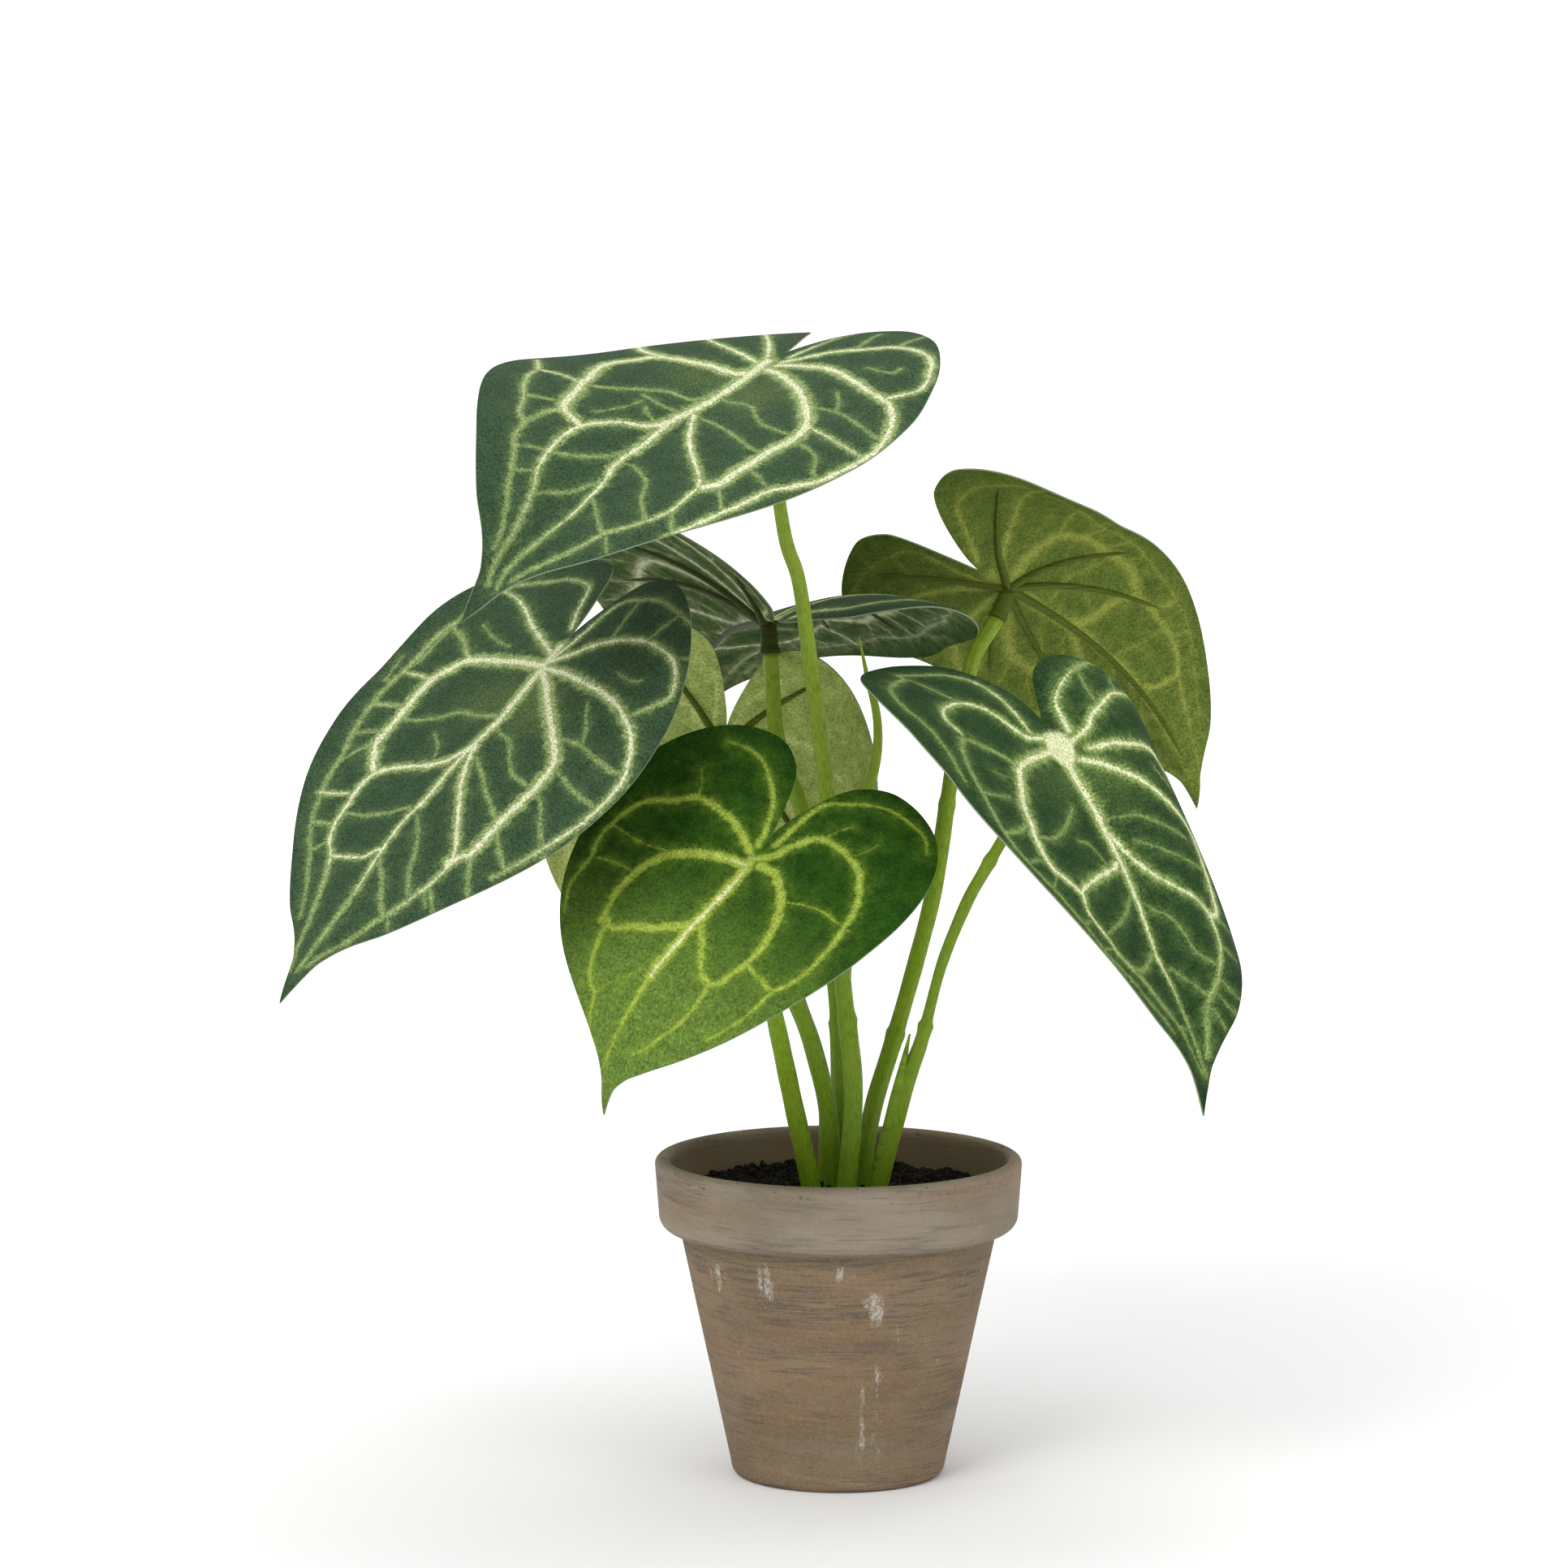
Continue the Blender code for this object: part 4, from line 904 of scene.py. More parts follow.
# The vector is exact near the line, the plain gap is exact away from it
near = calc(vein_mask, "MAXIMUM", length, calc(vein_mask, "SUBTRACT", given["Gap"], GUARD))
far = ramp(vein_mask, given["Gap"], 1.0, 2.0)
distance = calc(vein_mask, "MULTIPLY_ADD", calc(vein_mask, "SUBTRACT", given["Gap"], near), far, near)
# Fine veins have a smoother edge than broad ones
evenness = ramp(vein_mask, half_width, 0.8, 3.0, 0.45, 1.0)
ragged = calc(vein_mask, "MULTIPLY", given["Ragged"], evenness)
depth = calc(vein_mask, "SUBTRACT", calc(vein_mask, "SUBTRACT", half_width, distance), ragged)
# The core widens with the vein, and veins below the gate have none
core_half = calc(vein_mask, "MULTIPLY", given["Core Slope"],
                 calc(vein_mask, "SUBTRACT", half_width, given["Core Start"]))
inner = calc(vein_mask, "SUBTRACT", calc(vein_mask, "MULTIPLY_ADD", ragged, 0.6, distance),
             core_half)
wide = ramp(vein_mask, half_width, given["Core Gate"], calc(vein_mask, "ADD", given["Core Gate"], 0.5))
core = calc(vein_mask, "MULTIPLY", ramp(vein_mask, inner, CORE_SOFT, -CORE_SOFT), wide)
vein_mask.links.new(depth, result["Depth"])
vein_mask.links.new(core, result["Core"])
print(vein_mask.name, "has", len(vein_mask.nodes), "nodes")

# %% The weave of the fabric as a node group
weave, given, result = new_group(
    "weave", [("Where", VECTOR, None), ("Threads", FLOAT, 230.0)],
    [("Height", FLOAT), ("Grain", FLOAT)])
across, along = split(weave, given["Where"])[:2]
waves = calc(weave, "MULTIPLY", given["Threads"], TURN)
warp, weft = (calc(weave, "SINE", calc(weave, "MULTIPLY", way, waves)) for way in (across, along))
weave.links.new(calc(weave, "MULTIPLY", warp, weft), result["Height"])
weave.links.new(noise(weave, given["Where"], 115.0, 4.0, 0.85), result["Grain"])
print(weave.name, "has", len(weave.nodes), "nodes")

# %% [markdown]
# Printed fabric
# The ground of the print has two greens and a lighter area beside the joint. Over it lie the
# veins: a faint halo, an edge, a band and a core, each a little broken up by the threads.
# Six fabrics share this build, three for upper faces and three for undersides, where the print
# shows through faintly. One upper face and one underside are darker copies, painted shade for
# leaves that lie in shade. One underside is a brighter olive copy, painted light shining through
# the leaf from behind. So the build is a function, and each fabric is a set of values.

# %% What describes one printed fabric
@dataclass
class Fabric:
    """Colours and values of one face. Widths are in millimetres, shares between 0 and 1."""
    name: str
    cell: tuple               # the lighter green between the veins
    deep: tuple               # the darker one
    glow: tuple               # the lighter area beside the joint
    rim: tuple                # edge of a vein, and its halo
    band: tuple
    core: tuple
    feather: float = 0.8      # how ragged the edge of a vein is
    soft: float = 0.5         # over this depth the edge gains its colour
    reach: float = 0.9        # over this distance the halo fades
    glow_share: float = 0.20  # of the rim's colour in the halo
    band_share: float = 0.97
    core_share: float = 0.92
    grain: float = 1.1        # how strongly the threads lighten and darken the cloth
    blotch: float = 0.35      # the same for broader blotches
    shine: float = 0.06
    slant: float = 0.0        # angle of the cords on an underside, 0 for none
    core_values: tuple = (1.1, 0.42, 1.6)   # start, slope and gate of the vein mask


CLOTH_ROUGHNESS = 0.7
CORDS = 110               # slanting cords in a decimetre
print("values of a fabric:", list(Fabric.__dataclass_fields__))

# %% The strongest vein at each place
def vein_layers(tree, where, look):
    """The greatest depth below a vein's edge, and the strongest core, among the fields."""
    fibres = calc(tree, "SUBTRACT", noise(tree, where, 120.0, 4.0, 0.75), 0.5)
    waves = calc(tree, "SUBTRACT", noise(tree, where, 30.0, 2.0, 0.5), 0.5)
    ragged = calc(tree, "MULTIPLY", calc(tree, "ADD", fibres, waves), look.feather * 4)
    core_inputs = dict(zip(("Core Start", "Core Slope", "Core Gate"), look.core_values))
    best = None
    for number in range(VEIN_FIELDS):
        mask = use(tree, vein_mask, {
            "Line": stored(tree, f"vein_{number}", "Vector"), "Gap": stored(tree, f"gap_{number}"),
            "Ragged": ragged, **core_inputs})
        mask = [mask["Depth"], mask["Core"]]
        best = mask if best is None else [calc(tree, "MAXIMUM", a, b) for a, b in zip(best, mask)]
    return best


print("of", VEIN_FIELDS, "fields the strongest vein counts")

# %% The colours of a printed fabric
def ground(tree, where, look, mottle):
    """Two greens in patches, and the lighter area where the mottle lets it through."""
    patch = ramp(tree, noise(tree, where, 9.0, 5.0, 0.7), 0.3, 0.7)
    olive = calc(tree, "MULTIPLY", stored(tree, "light"), ramp(tree, mottle, 0.3, 0.7, 0.35, 1.0),
                 clamp=True)
    return blend(tree, olive, blend(tree, patch, look.deep, look.cell), look.glow)


def with_veins(tree, colour, look, halo, depth, core, thread):
    """A ground colour with the halo, edge, band and core of the veins laid over it."""
    colour = blend(tree, calc(tree, "MULTIPLY", halo, look.glow_share, clamp=True), colour, look.rim)
    for start, end, tint in ((0.0, look.soft, look.rim), (0.4, 1.9, look.band)):
        share = calc(tree, "MULTIPLY", ramp(tree, depth, start, end), thread, clamp=True)
        colour = blend(tree, calc(tree, "MULTIPLY", share, look.band_share), colour, tint)
    return blend(tree, calc(tree, "MULTIPLY", core, look.core_share), colour, look.core)


def cloth_tone(tree, where, look, grain, blotches):
    """A factor about 1 from the threads, the blotches and, on an underside, slanting cords."""
    tone = varied(tree, 1.0, grain, look.grain * 2)
    tone = varied(tree, tone, blotches, look.blotch * 2)
    if look.slant:
        lines = put(tree, "ShaderNodeMapping", {"Vector": where, "Rotation": (0, 0, look.slant)})
        across = split(tree, lines.outputs[0])[0]
        cord = calc(tree, "SINE", calc(tree, "MULTIPLY", across, CORDS * TURN))
        tone = calc(tree, "MULTIPLY_ADD", cord, 0.07, tone)
    return tone


print("cords on an underside:", CORDS, "in a decimetre")

# %% A printed fabric from its values, and the upper faces
def printed_fabric(look):
    """Ground, veins and tone of one face, with a bump from its threads and raised veins."""
    mat, tree, shader = new_material(look.name, CLOTH_ROUGHNESS, Specular_IOR_Level=look.shine)
    where = put(tree, "ShaderNodeUVMap", uv_map="fabric").outputs[0]
    depth, core = vein_layers(tree, where, look)
    cloth = use(tree, weave, {"Where": where})
    mottle, blotches = noise(tree, where, 75.0, 4.0, 0.75), noise(tree, where, 24.0, 5.0, 0.7)
    halo = calc(tree, "EXPONENT", calc(tree, "DIVIDE", calc(tree, "MINIMUM", depth, 0.0), look.reach))
    uneven = calc(tree, "MULTIPLY", halo, ramp(tree, blotches, 0.32, 0.68, 0.4, 1.6))
    joint = ramp(tree, varied(tree, stored(tree, "joint"), mottle, 0.8), 0.35, 0.85)
    pale = calc(tree, "MAXIMUM", core, joint)
    thread = ramp(tree, cloth["Grain"], 0.3, 0.7, 0.72, 1.12)
    colour = with_veins(tree, ground(tree, where, look, mottle), look, uneven, depth, pale, thread)
    tone = cloth_tone(tree, where, look, cloth["Grain"], blotches)
    colour = put(tree, "ShaderNodeMix", data_type="RGBA", blend_type="MULTIPLY",
                 inputs={0: 1.0, 6: colour, 7: tone}).outputs[2]
    height = calc(tree, "MULTIPLY_ADD", cloth["Height"], 0.25, cloth["Grain"])
    height = calc(tree, "MULTIPLY_ADD", halo, -1.2, height)
    finish_surface(tree, shader, colour, height, 0.3, 0.0003)
    return mat


long_top = printed_fabric(Fabric(
    "long leaf print", (0.038, 0.072, 0.034), (0.027, 0.056, 0.027), (0.090, 0.130, 0.042),
    (0.140, 0.205, 0.070), (0.265, 0.330, 0.135), (0.590, 0.610, 0.385),
    reach=1.3, glow_share=0.32, grain=2.3))
# A darker, more saturated copy of the long print: painted shade for the leaves that lie in shade
long_top_shaded = printed_fabric(Fabric(
    "long leaf print with painted shade", (0.024, 0.058, 0.017), (0.013, 0.040, 0.012),
    (0.070, 0.115, 0.030), (0.135, 0.205, 0.058), (0.265, 0.340, 0.115), (0.640, 0.665, 0.400),
    reach=1.7, glow_share=0.42, grain=2.1))
heart_top = printed_fabric(Fabric(
    "heart leaf print", (0.026, 0.080, 0.006), (0.009, 0.040, 0.004), (0.155, 0.245, 0.045),
    (0.150, 0.235, 0.026), (0.310, 0.395, 0.060), (0.620, 0.640, 0.330),
    feather=0.6, soft=1.3, reach=1.8, glow_share=0.28, shine=0.05, core_values=(2.4, 1.2, 2.5),
    blotch=0.65, grain=1.6))
print("upper faces:", [mat.name for mat in (long_top, long_top_shaded, heart_top)])

# %% The undersides and the cut edge
# The long underside, darkened: painted shade, because the underside of leaf 3 lies in shade
long_under_shaded = printed_fabric(Fabric(
    "long leaf underside with painted shade", (0.046, 0.086, 0.028), (0.030, 0.060, 0.020), (0.080, 0.115, 0.040),
    (0.145, 0.180, 0.085), (0.290, 0.320, 0.175), (0.500, 0.520, 0.350),
    feather=1.1, soft=2.0, reach=3.0, glow_share=0.60, band_share=0.90, core_share=0.75,
    shine=0.0, slant=0.8, grain=1.3, blotch=0.7))
# A brighter olive copy of the underside: painted light shining through leaf 4 from behind
backlit_under = printed_fabric(Fabric(
    "leaf underside with painted backlight", (0.125, 0.178, 0.034), (0.082, 0.130, 0.026), (0.140, 0.184, 0.036),
    (0.170, 0.208, 0.040), (0.235, 0.278, 0.054), (0.260, 0.305, 0.064),
    soft=1.8, reach=2.2, glow_share=0.45, band_share=0.85, shine=0.0, slant=0.8, grain=1.7,
    blotch=0.5))
heart_under = printed_fabric(Fabric(
    "heart leaf underside", (0.420, 0.500, 0.150), (0.290, 0.370, 0.100), (0.430, 0.500, 0.160),
    (0.430, 0.500, 0.160), (0.540, 0.610, 0.215), (0.560, 0.630, 0.240),
    soft=1.6, reach=2.0, glow_share=0.35, band_share=0.7, shine=0.0, slant=0.8, grain=1.6,
    blotch=0.7))
cut_edge, tree, shader = new_material("cut fabric edge", CLOTH_ROUGHNESS)
where = put(tree, "ShaderNodeUVMap", uv_map="fabric").outputs[0]
colour = blend(tree, noise(tree, where, 150.0), (0.08, 0.12, 0.05), (0.26, 0.32, 0.18))
tree.links.new(colour, shader.inputs["Base Color"])
print("undersides:", [mat.name for mat in (long_under_shaded, backlit_under, heart_under)])

# %% Make the seven blades
# Leaves 3, 4 and 6 take the upper face with painted shade. Leaf 4 takes the underside with painted
# backlight, and the other long leaves take the one with painted shade.
LEAF_FACES = {1: (long_top, long_under_shaded), 2: (long_top, long_under_shaded), 3: (long_top_shaded, long_under_shaded),
              4: (long_top_shaded, backlit_under), 5: (heart_top, heart_under),
              6: (long_top_shaded, long_under_shaded), 7: (heart_top, heart_under)}
for number, leaf in LEAVES.items():
    blade = make_blade(number, leaf, (*LEAF_FACES[number], cut_edge))
    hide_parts(f"leaf_{number}")
    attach(blade, "root")
    print(blade.name, len(blade.data.polygons), "triangles")

# %% [markdown]
# Ribs and stems
# Under each blade sits a moulded frame: a short collar that takes the stem, and seven ribs
# that fan out of it. A stem is a moulded rod with shallow grooves and small steps like those
# where an old leaf sat. A bevelled curve would give even tubes only. So these are sweeps: a
# ring of points carried along a curve, with the ring's radius as a function of the place
# along it and of the angle round it.

# %% Sweep a ring along a curve
ROUTE_STEPS = 24          # points from one knot of a route to the next, before they are spaced


def along_curve(route, step):
    """Evenly spaced points on a smooth curve through the route, and how far along each is."""
    dense = smooth_curve(np.array(route, float), ROUTE_STEPS)
    walked = np.concatenate([[0], np.cumsum(np.linalg.norm(np.diff(dense, axis=0), axis=1))])
    places = np.linspace(0, walked[-1], max(4, round(walked[-1] / step) + 1))
    return np.stack([np.interp(places, walked, dense[:, i]) for i in range(3)], axis=1), places


def carried_frames(points, heading=None):
    """Tangents and two side vectors at each point. Each side vector is the one before it
    with its part along the new tangent taken away, so the frame doesn't spin."""
    tangents = np.gradient(points, axis=0)
    if heading is not None:
        tangents[-1] = heading
    tangents /= np.linalg.norm(tangents, axis=1, keepdims=True)
    side = np.cross(tangents[0], (0.3, 1.0, 0.1))
    sides = np.zeros_like(points)
    for i, tangent in enumerate(tangents):
        side = side - tangent * (side @ tangent)
        side /= np.linalg.norm(side)
        sides[i] = side
    return tangents, sides, np.cross(tangents, sides)


straight_line = ((0, 0, 0), (0, 0.05, 0), (0, 0.1, 0))
print("1 cm apart on 10 cm:", len(along_curve(straight_line, 0.01)[0]), "points")

# %% Faces between the rings
def ring_faces(count, sides, inward=False):
    """Quads between the rings of a grid, and a fan of triangles at each end. Point j of ring i
    is number i*sides + j, and the centres of the first and last ring come after all rings.
    With inward, every face is turned round."""
    i, j = np.meshgrid(np.arange(count - 1), np.arange(sides), indexing="ij")
    k = (j + 1) % sides
    walls = np.stack([i * sides + j, i * sides + k, (i + 1) * sides + k, (i + 1) * sides + j], -1)
    walls = walls.reshape(-1, 4)
    around = np.arange(sides)
    after = (around + 1) % sides
    last, centre = (count - 1) * sides, np.full(sides, count * sides)
    caps = np.vstack([np.stack([after, around, centre], -1),
                      np.stack([last + around, last + after, centre + 1], -1)])
    if inward:
        walls, caps = walls[:, [0, 3, 2, 1]], caps[:, [1, 0, 2]]
    return walls.tolist() + caps.tolist()


print("a ring of four sides carried over three points:", len(ring_faces(3, 4)), "faces")

# %% Tubes, and several of them as one mesh
def angles_round(sides):
    """Evenly spaced angles once round a ring."""
    return np.arange(sides) * TURN / sides


def tube(points, radii, heading=None):
    """Vertices and faces of a closed tube. radii has one row for each point and one column
    for each angle round it: point + side*r*cos(a) + other*r*sin(a), closed by two centres."""
    count, sides = radii.shape
    _, side, other = carried_frames(points, heading)
    angle = angles_round(sides)[None, :, None]
    ring = side[:, None] * np.cos(angle) + other[:, None] * np.sin(angle)
    verts = (points[:, None] + ring * radii[..., None]).reshape(-1, 3)
    return np.vstack([verts, points[:1], points[-1:]]), ring_faces(count, sides)


def joined(parts):
    """Several closed meshes as one list of vertices and faces."""
    verts, faces, shift = [], [], 0
    for points, cells in parts:
        verts.append(points)
        faces += [[v + shift for v in cell] for cell in cells]
        shift += len(points)
    return np.vstack(verts), faces


short_tube = tube(np.array([(0, 0, 0), (0, 0, 1), (0, 0, 2)], float), np.ones((3, 4)))
print("its corners, with the two centres:", len(short_tube[0]))

# %% [markdown]
# Moulded plastic
# The ribs and stems are smooth plastic, greener at the foot and more yellow higher up, with
# darker streaks along them: painted shade of the grooves of the stems, mixed with streaks in the
# plastic. The streaks have to follow a bent stem, so they are noise on the piece's own UV map,
# squeezed along the stem, and not on its place.

# %% Moulded plastic for ribs and stems
FOOT_HEIGHT, TOP_HEIGHT = 0.09, 0.36      # the colour goes from low to high between them


def moulded_green(name, low, high, dark, roughness, shine=0.2):
    """Moulded plastic whose colour goes from low to high with the height, with dark streaks
    along the piece that are partly painted shade of its grooves, pale blotches, and a bump
    from finer streaks."""
    mat, tree, shader = new_material(name, roughness, Specular_IOR_Level=shine)
    where = put(tree, "ShaderNodeTexCoord").outputs["Object"]
    colour = blend(tree, ramp(tree, split(tree, where)[2], FOOT_HEIGHT, TOP_HEIGHT), low, high)
    uv = put(tree, "ShaderNodeUVMap", uv_map="fabric").outputs[0]
    streaks = noise(tree, uv, 1.0, 3.0, 0.6, stretch=(14.0, 30.0, 1.0))
    # Dark streaks: painted shade of the grooves, mixed with streaks in the plastic
    colour = blend(tree, ramp(tree, streaks, 0.40, 0.64, 0.0, 0.75), colour, dark)
    blotch = noise(tree, where, 90.0, 2.0, 0.5)
    colour = blend(tree, ramp(tree, blotch, 0.45, 0.75, 0.0, 0.35), colour, high)
    lines = noise(tree, uv, 1.0, 2.0, 0.5, stretch=(40.0, 8.0, 1.0))
    finish_surface(tree, shader, colour, lines, 0.35, 0.0003)
    return mat


rib_green = moulded_green("moulded rib", (0.075, 0.105, 0.012), (0.100, 0.135, 0.016),
                          (0.045, 0.065, 0.008), 0.5, 0.08)
# A much darker copy of the rib plastic: painted shade for the ribs of leaf 3, whose underside lies in shade
rib_shaded = moulded_green("moulded rib with painted shade", (0.030, 0.042, 0.008), (0.042, 0.058, 0.011),
                         (0.018, 0.026, 0.005), 0.5, 0.08)
stem_green = moulded_green("moulded stem", (0.215, 0.365, 0.012), (0.270, 0.370, 0.030),
                           (0.110, 0.185, 0.008), 0.45)
print("plastics:", [mat.name for mat in (rib_green, rib_shaded, stem_green)])

# %% [markdown]
# Where each stem stands
# A stem rises out of the soil, bends past its neighbours and ends in the collar of its leaf.
# Its route is a handful of points, because a smooth curve through few points bends as evenly
# as a real stem does. Its radii are as few, from the root up.

# %% Routes and radii of the stems and the shoot
# Where each stem stands, then the points that it passes, and its radii from root to collar
STEMS = {
    1: (((0.0023, -0.008), (0.0044, -0.008, 0.1156), (0.0047, -0.008, 0.1316), (0.0033, -0.008, 0.1463),
         (0.0012, -0.008, 0.1650), (-0.0015, -0.010, 0.1985), (-0.0037, -0.014, 0.2269),
         (-0.0082, -0.021, 0.2606), (-0.0129, -0.027, 0.2951), (-0.0178, -0.029, 0.3122)),
        (0.0034, 0.0030, 0.0026, 0.0020)),
    2: (((-0.0016, 0.001), (-0.0035, -0.001, 0.1197), (-0.0072, -0.004, 0.1371), (-0.0133, -0.009, 0.1558),
         (-0.0272, -0.020, 0.1841), (-0.0531, -0.033, 0.2200), (-0.0762, -0.041, 0.2471)),
        (0.0032, 0.0027, 0.0025)),
    3: (((0.0014, 0.0095), (0.0003, 0.011, 0.1257), (-0.0005, 0.013, 0.1497), (-0.0040, 0.016, 0.1816),
         (-0.0119, 0.020, 0.2159), (-0.0159, 0.022, 0.2264), (-0.0202, 0.024, 0.2409),
         (-0.0215, 0.027, 0.2553)), (0.0030, 0.0026, 0.0025)),
    4: (((0.0072, 0.001), (0.0112, 0.005, 0.1187), (0.0187, 0.014, 0.1425), (0.0261, 0.026, 0.1666),
         (0.0322, 0.040, 0.1890), (0.0374, 0.057, 0.2194), (0.0446, 0.076, 0.2569)),
        (0.0031, 0.0029, 0.0028)),
    5: (((-0.0085, -0.004), (-0.0154, -0.012, 0.1270), (-0.0207, -0.026, 0.1551), (-0.0245, -0.042, 0.1767)),
        (0.0034, 0.0030, 0.0025)),
    6: (((0.0124, -0.006), (0.0184, -0.008, 0.1169), (0.0234, -0.010, 0.1346), (0.0272, -0.012, 0.1462),
         (0.0331, -0.016, 0.1702), (0.0408, -0.022, 0.1909), (0.0464, -0.026, 0.2021),
         (0.0560, -0.033, 0.2200)), (0.0036, 0.0030, 0.0021, 0.0021, 0.0024)),
    7: (((-0.0041, 0.017), (-0.0036, 0.017, 0.1166), (-0.0071, 0.017, 0.1356), (-0.0130, 0.019, 0.1528),
         (-0.0247, 0.025, 0.1884), (-0.0333, 0.032, 0.2117)), (0.0030, 0.0026, 0.0024)),
}
SHEATH_ROUTE = ((0.0137, -0.0070, 0.1020), (0.0179, -0.0090, 0.1211), (0.0202, -0.0110, 0.1335),
                (0.0230, -0.0125, 0.1473))
SHEATH_RADII = (0.0026, 0.0021, 0.0003)
SHOOT_ROUTE = ((0.0034, 0.018), (0.0033, 0.018, 0.1164), (0.0036, 0.018, 0.1408), (0.0025, 0.017, 0.1612),
               (0.0061, 0.014, 0.1953), (0.0098, 0.010, 0.2212), (0.0126, 0.007, 0.2376),
               (0.0123, 0.004, 0.2499), (0.0093, 0.001, 0.2621), (0.0064, -0.003, 0.2763))
SHOOT_RADII = (0.0026, 0.0024, 0.0022, 0.0020, 0.0018, 0.0017, 0.0017, 0.0014, 0.0002)
SOIL_TOP, ROOT_DEPTH = 0.093, 0.021
print("stems:", len(STEMS), "and one shoot")

# %% [markdown]
# Collars and ribs
# A rib is half a rod: round below and flat against the fabric, thinner towards its end. It
# has to lie on the bent blade, so its line is drawn on the flat leaf and bent by the same
# formula. The collar is a short turned sleeve whose lip stands a little proud.

# %% The line of a rib on the flat leaf
SPOKES, SPOKE_CROWDING, SPOKE_SWEEP = 22, 0.4, math.radians(18)
RIB_SPOKES = (0, 4, 7, 16)   # of 22 spokes from the tip to the notch
RIB_START, RIB_REACH, RIB_FADE = 0.015, 0.81, 0.8
RIB_STEPS, RIB_SIDES = 44, 14


def rib_path(leaf, spoke):
    """Flat points of a rib along a spoke: theta = end + sweep * sin(end) * (1 - rho)^2."""
    rho = np.linspace(RIB_START, RIB_REACH, RIB_STEPS)
    share = spoke / SPOKES
    end = np.pi * share - SPOKE_CROWDING / 2 * math.sin(TURN * share)
    theta = end + SPOKE_SWEEP * math.sin(end) * (1 - rho) ** 2
    return flat_point(leaf, theta, rho * outline_radius(leaf, theta))


print(f"middle rib of leaf 1: {1000 * np.ptp(rib_path(LEAVES[1], 0)[1]):.0f} mm")

# %% A rib pressed against the blade
RIB_ROOT, RIB_END = (0.0015, 0.0021), (0.0006, 0.0007)   # half width and depth
RIB_POINT = 0.8           # how much of it is lost over the last tenth
RIB_TUCK = 0.12           # radians by which its ring goes past the fabric on each side


def rib_tube(leaf, spoke):
    """A rib as rings of base + across*half*cos(t) - normal*deep*sin(t), t from one side of
    the fabric round below to the other."""
    x, y = rib_path(leaf, spoke)
    path, normal = bent(leaf, x, y), face_normal(leaf, x, y)
    ahead = np.gradient(path, axis=0)
    ahead /= np.linalg.norm(ahead, axis=1, keepdims=True)
    across = np.cross(ahead, normal)
    place = np.linspace(0, 1, RIB_STEPS)
    fade = place ** RIB_FADE
    point = 1 - RIB_POINT * smooth_between(place, 0.9, 1.0)
    half, deep = (((a + (b - a) * fade) * point)[:, None, None] for a, b in zip(RIB_ROOT, RIB_END))
    turn = np.linspace(-RIB_TUCK, math.pi + RIB_TUCK, RIB_SIDES)[None, :, None]
    base = (path - normal * BLADE_THICKNESS / 2)[:, None]
    ring = base + across[:, None] * half * np.cos(turn) - normal[:, None] * deep * np.sin(turn)
    verts = np.vstack([ring.reshape(-1, 3), ring[0].mean(0)[None], ring[-1].mean(0)[None]])
    return verts, ring_faces(RIB_STEPS, RIB_SIDES)


print("corners of one rib:", len(rib_tube(LEAVES[1], 0)[0]))

# %% The collar
SOLID_THICKNESS = 0.0007  # of a blade in the solids, on which the collar's place was worked out
RIB_GAP = 0.0005
COLLAR_LENGTH, COLLAR_RADIUS, COLLAR_SIDES = 0.010, 0.0029, 28
# Places along the collar as shares of its length, and its radius at each in millimetres
COLLAR_PROFILE = ((-0.06, 1.2), (0.0, 2.1), (0.06, 2.7), (0.3, 2.85), (0.6, 2.9), (0.80, 2.9),
                  (0.83, 3.1), (0.86, 3.3), (0.97, 3.3), (1.0, 3.1))


def collar_line(leaf, below):
    """Top and foot of the collar: from under the joint straight towards the stem below it."""
    normal = face_normal(leaf, np.zeros(1), np.zeros(1))[0]
    away = np.array(below) - np.array(leaf.joint)
    away /= np.linalg.norm(away)
    tilt = math.sqrt(max(0.0, 1 - float(away @ normal) ** 2))
    depth = SOLID_THICKNESS / 2 + RIB_GAP + COLLAR_RADIUS * tilt
    top = np.array(leaf.joint) - depth * normal
    return top, top + COLLAR_LENGTH * away, away


print(f"a collar is {1000 * COLLAR_LENGTH:.0f} mm long")

# %% Make the seven collars with their ribs
def make_rib_frame(number, leaf, mat):
    """The collar with its seven ribs."""
    top, foot, away = collar_line(leaf, STEMS[number][0][-1])
    places, radii = np.array(COLLAR_PROFILE).T
    parts = [tube(top + places[:, None] * COLLAR_LENGTH * away,
                  np.repeat(radii[:, None] / 1000, COLLAR_SIDES, axis=1))]
    for spoke in RIB_SPOKES:
        for signed in sorted({spoke, -spoke}):
            parts.append(rib_tube(leaf, signed))
    verts, faces = joined(parts)
    piece = mesh_piece(f"rib_frame_{number}", verts, faces, [mat])
    piece.data.set_sharp_from_angle(angle=math.radians(60))
    add_uv(piece, np.column_stack([np.zeros(len(verts)), verts[:, 2] * 40]))
    return piece, foot, away


rib_frames = {}
for number, leaf in LEAVES.items():
    # The ribs of leaf 3 take the plastic with painted shade
    frame_piece, foot, away = make_rib_frame(number, leaf, rib_shaded if number == 3 else rib_green)
    rib_frames[number] = (foot, away)
    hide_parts(f"ribs_{number}")
    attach(frame_piece, "root")
    print(frame_piece.name, len(frame_piece.data.polygons), "faces")

# %% [markdown]
# Stems with grooves and steps
# A stem is not quite round: it has shallow grooves that wander, slow waves, and a small step
# where it gets thinner. A plain tube shows none of that. Here the radius is a product of one
# factor for each of them, so the mesh itself has the relief, at every height and angle.

# %% The radius of a stem
STEM_SIDES = 36
GROOVE_DEPTH = 0.055      # as a share of the radius
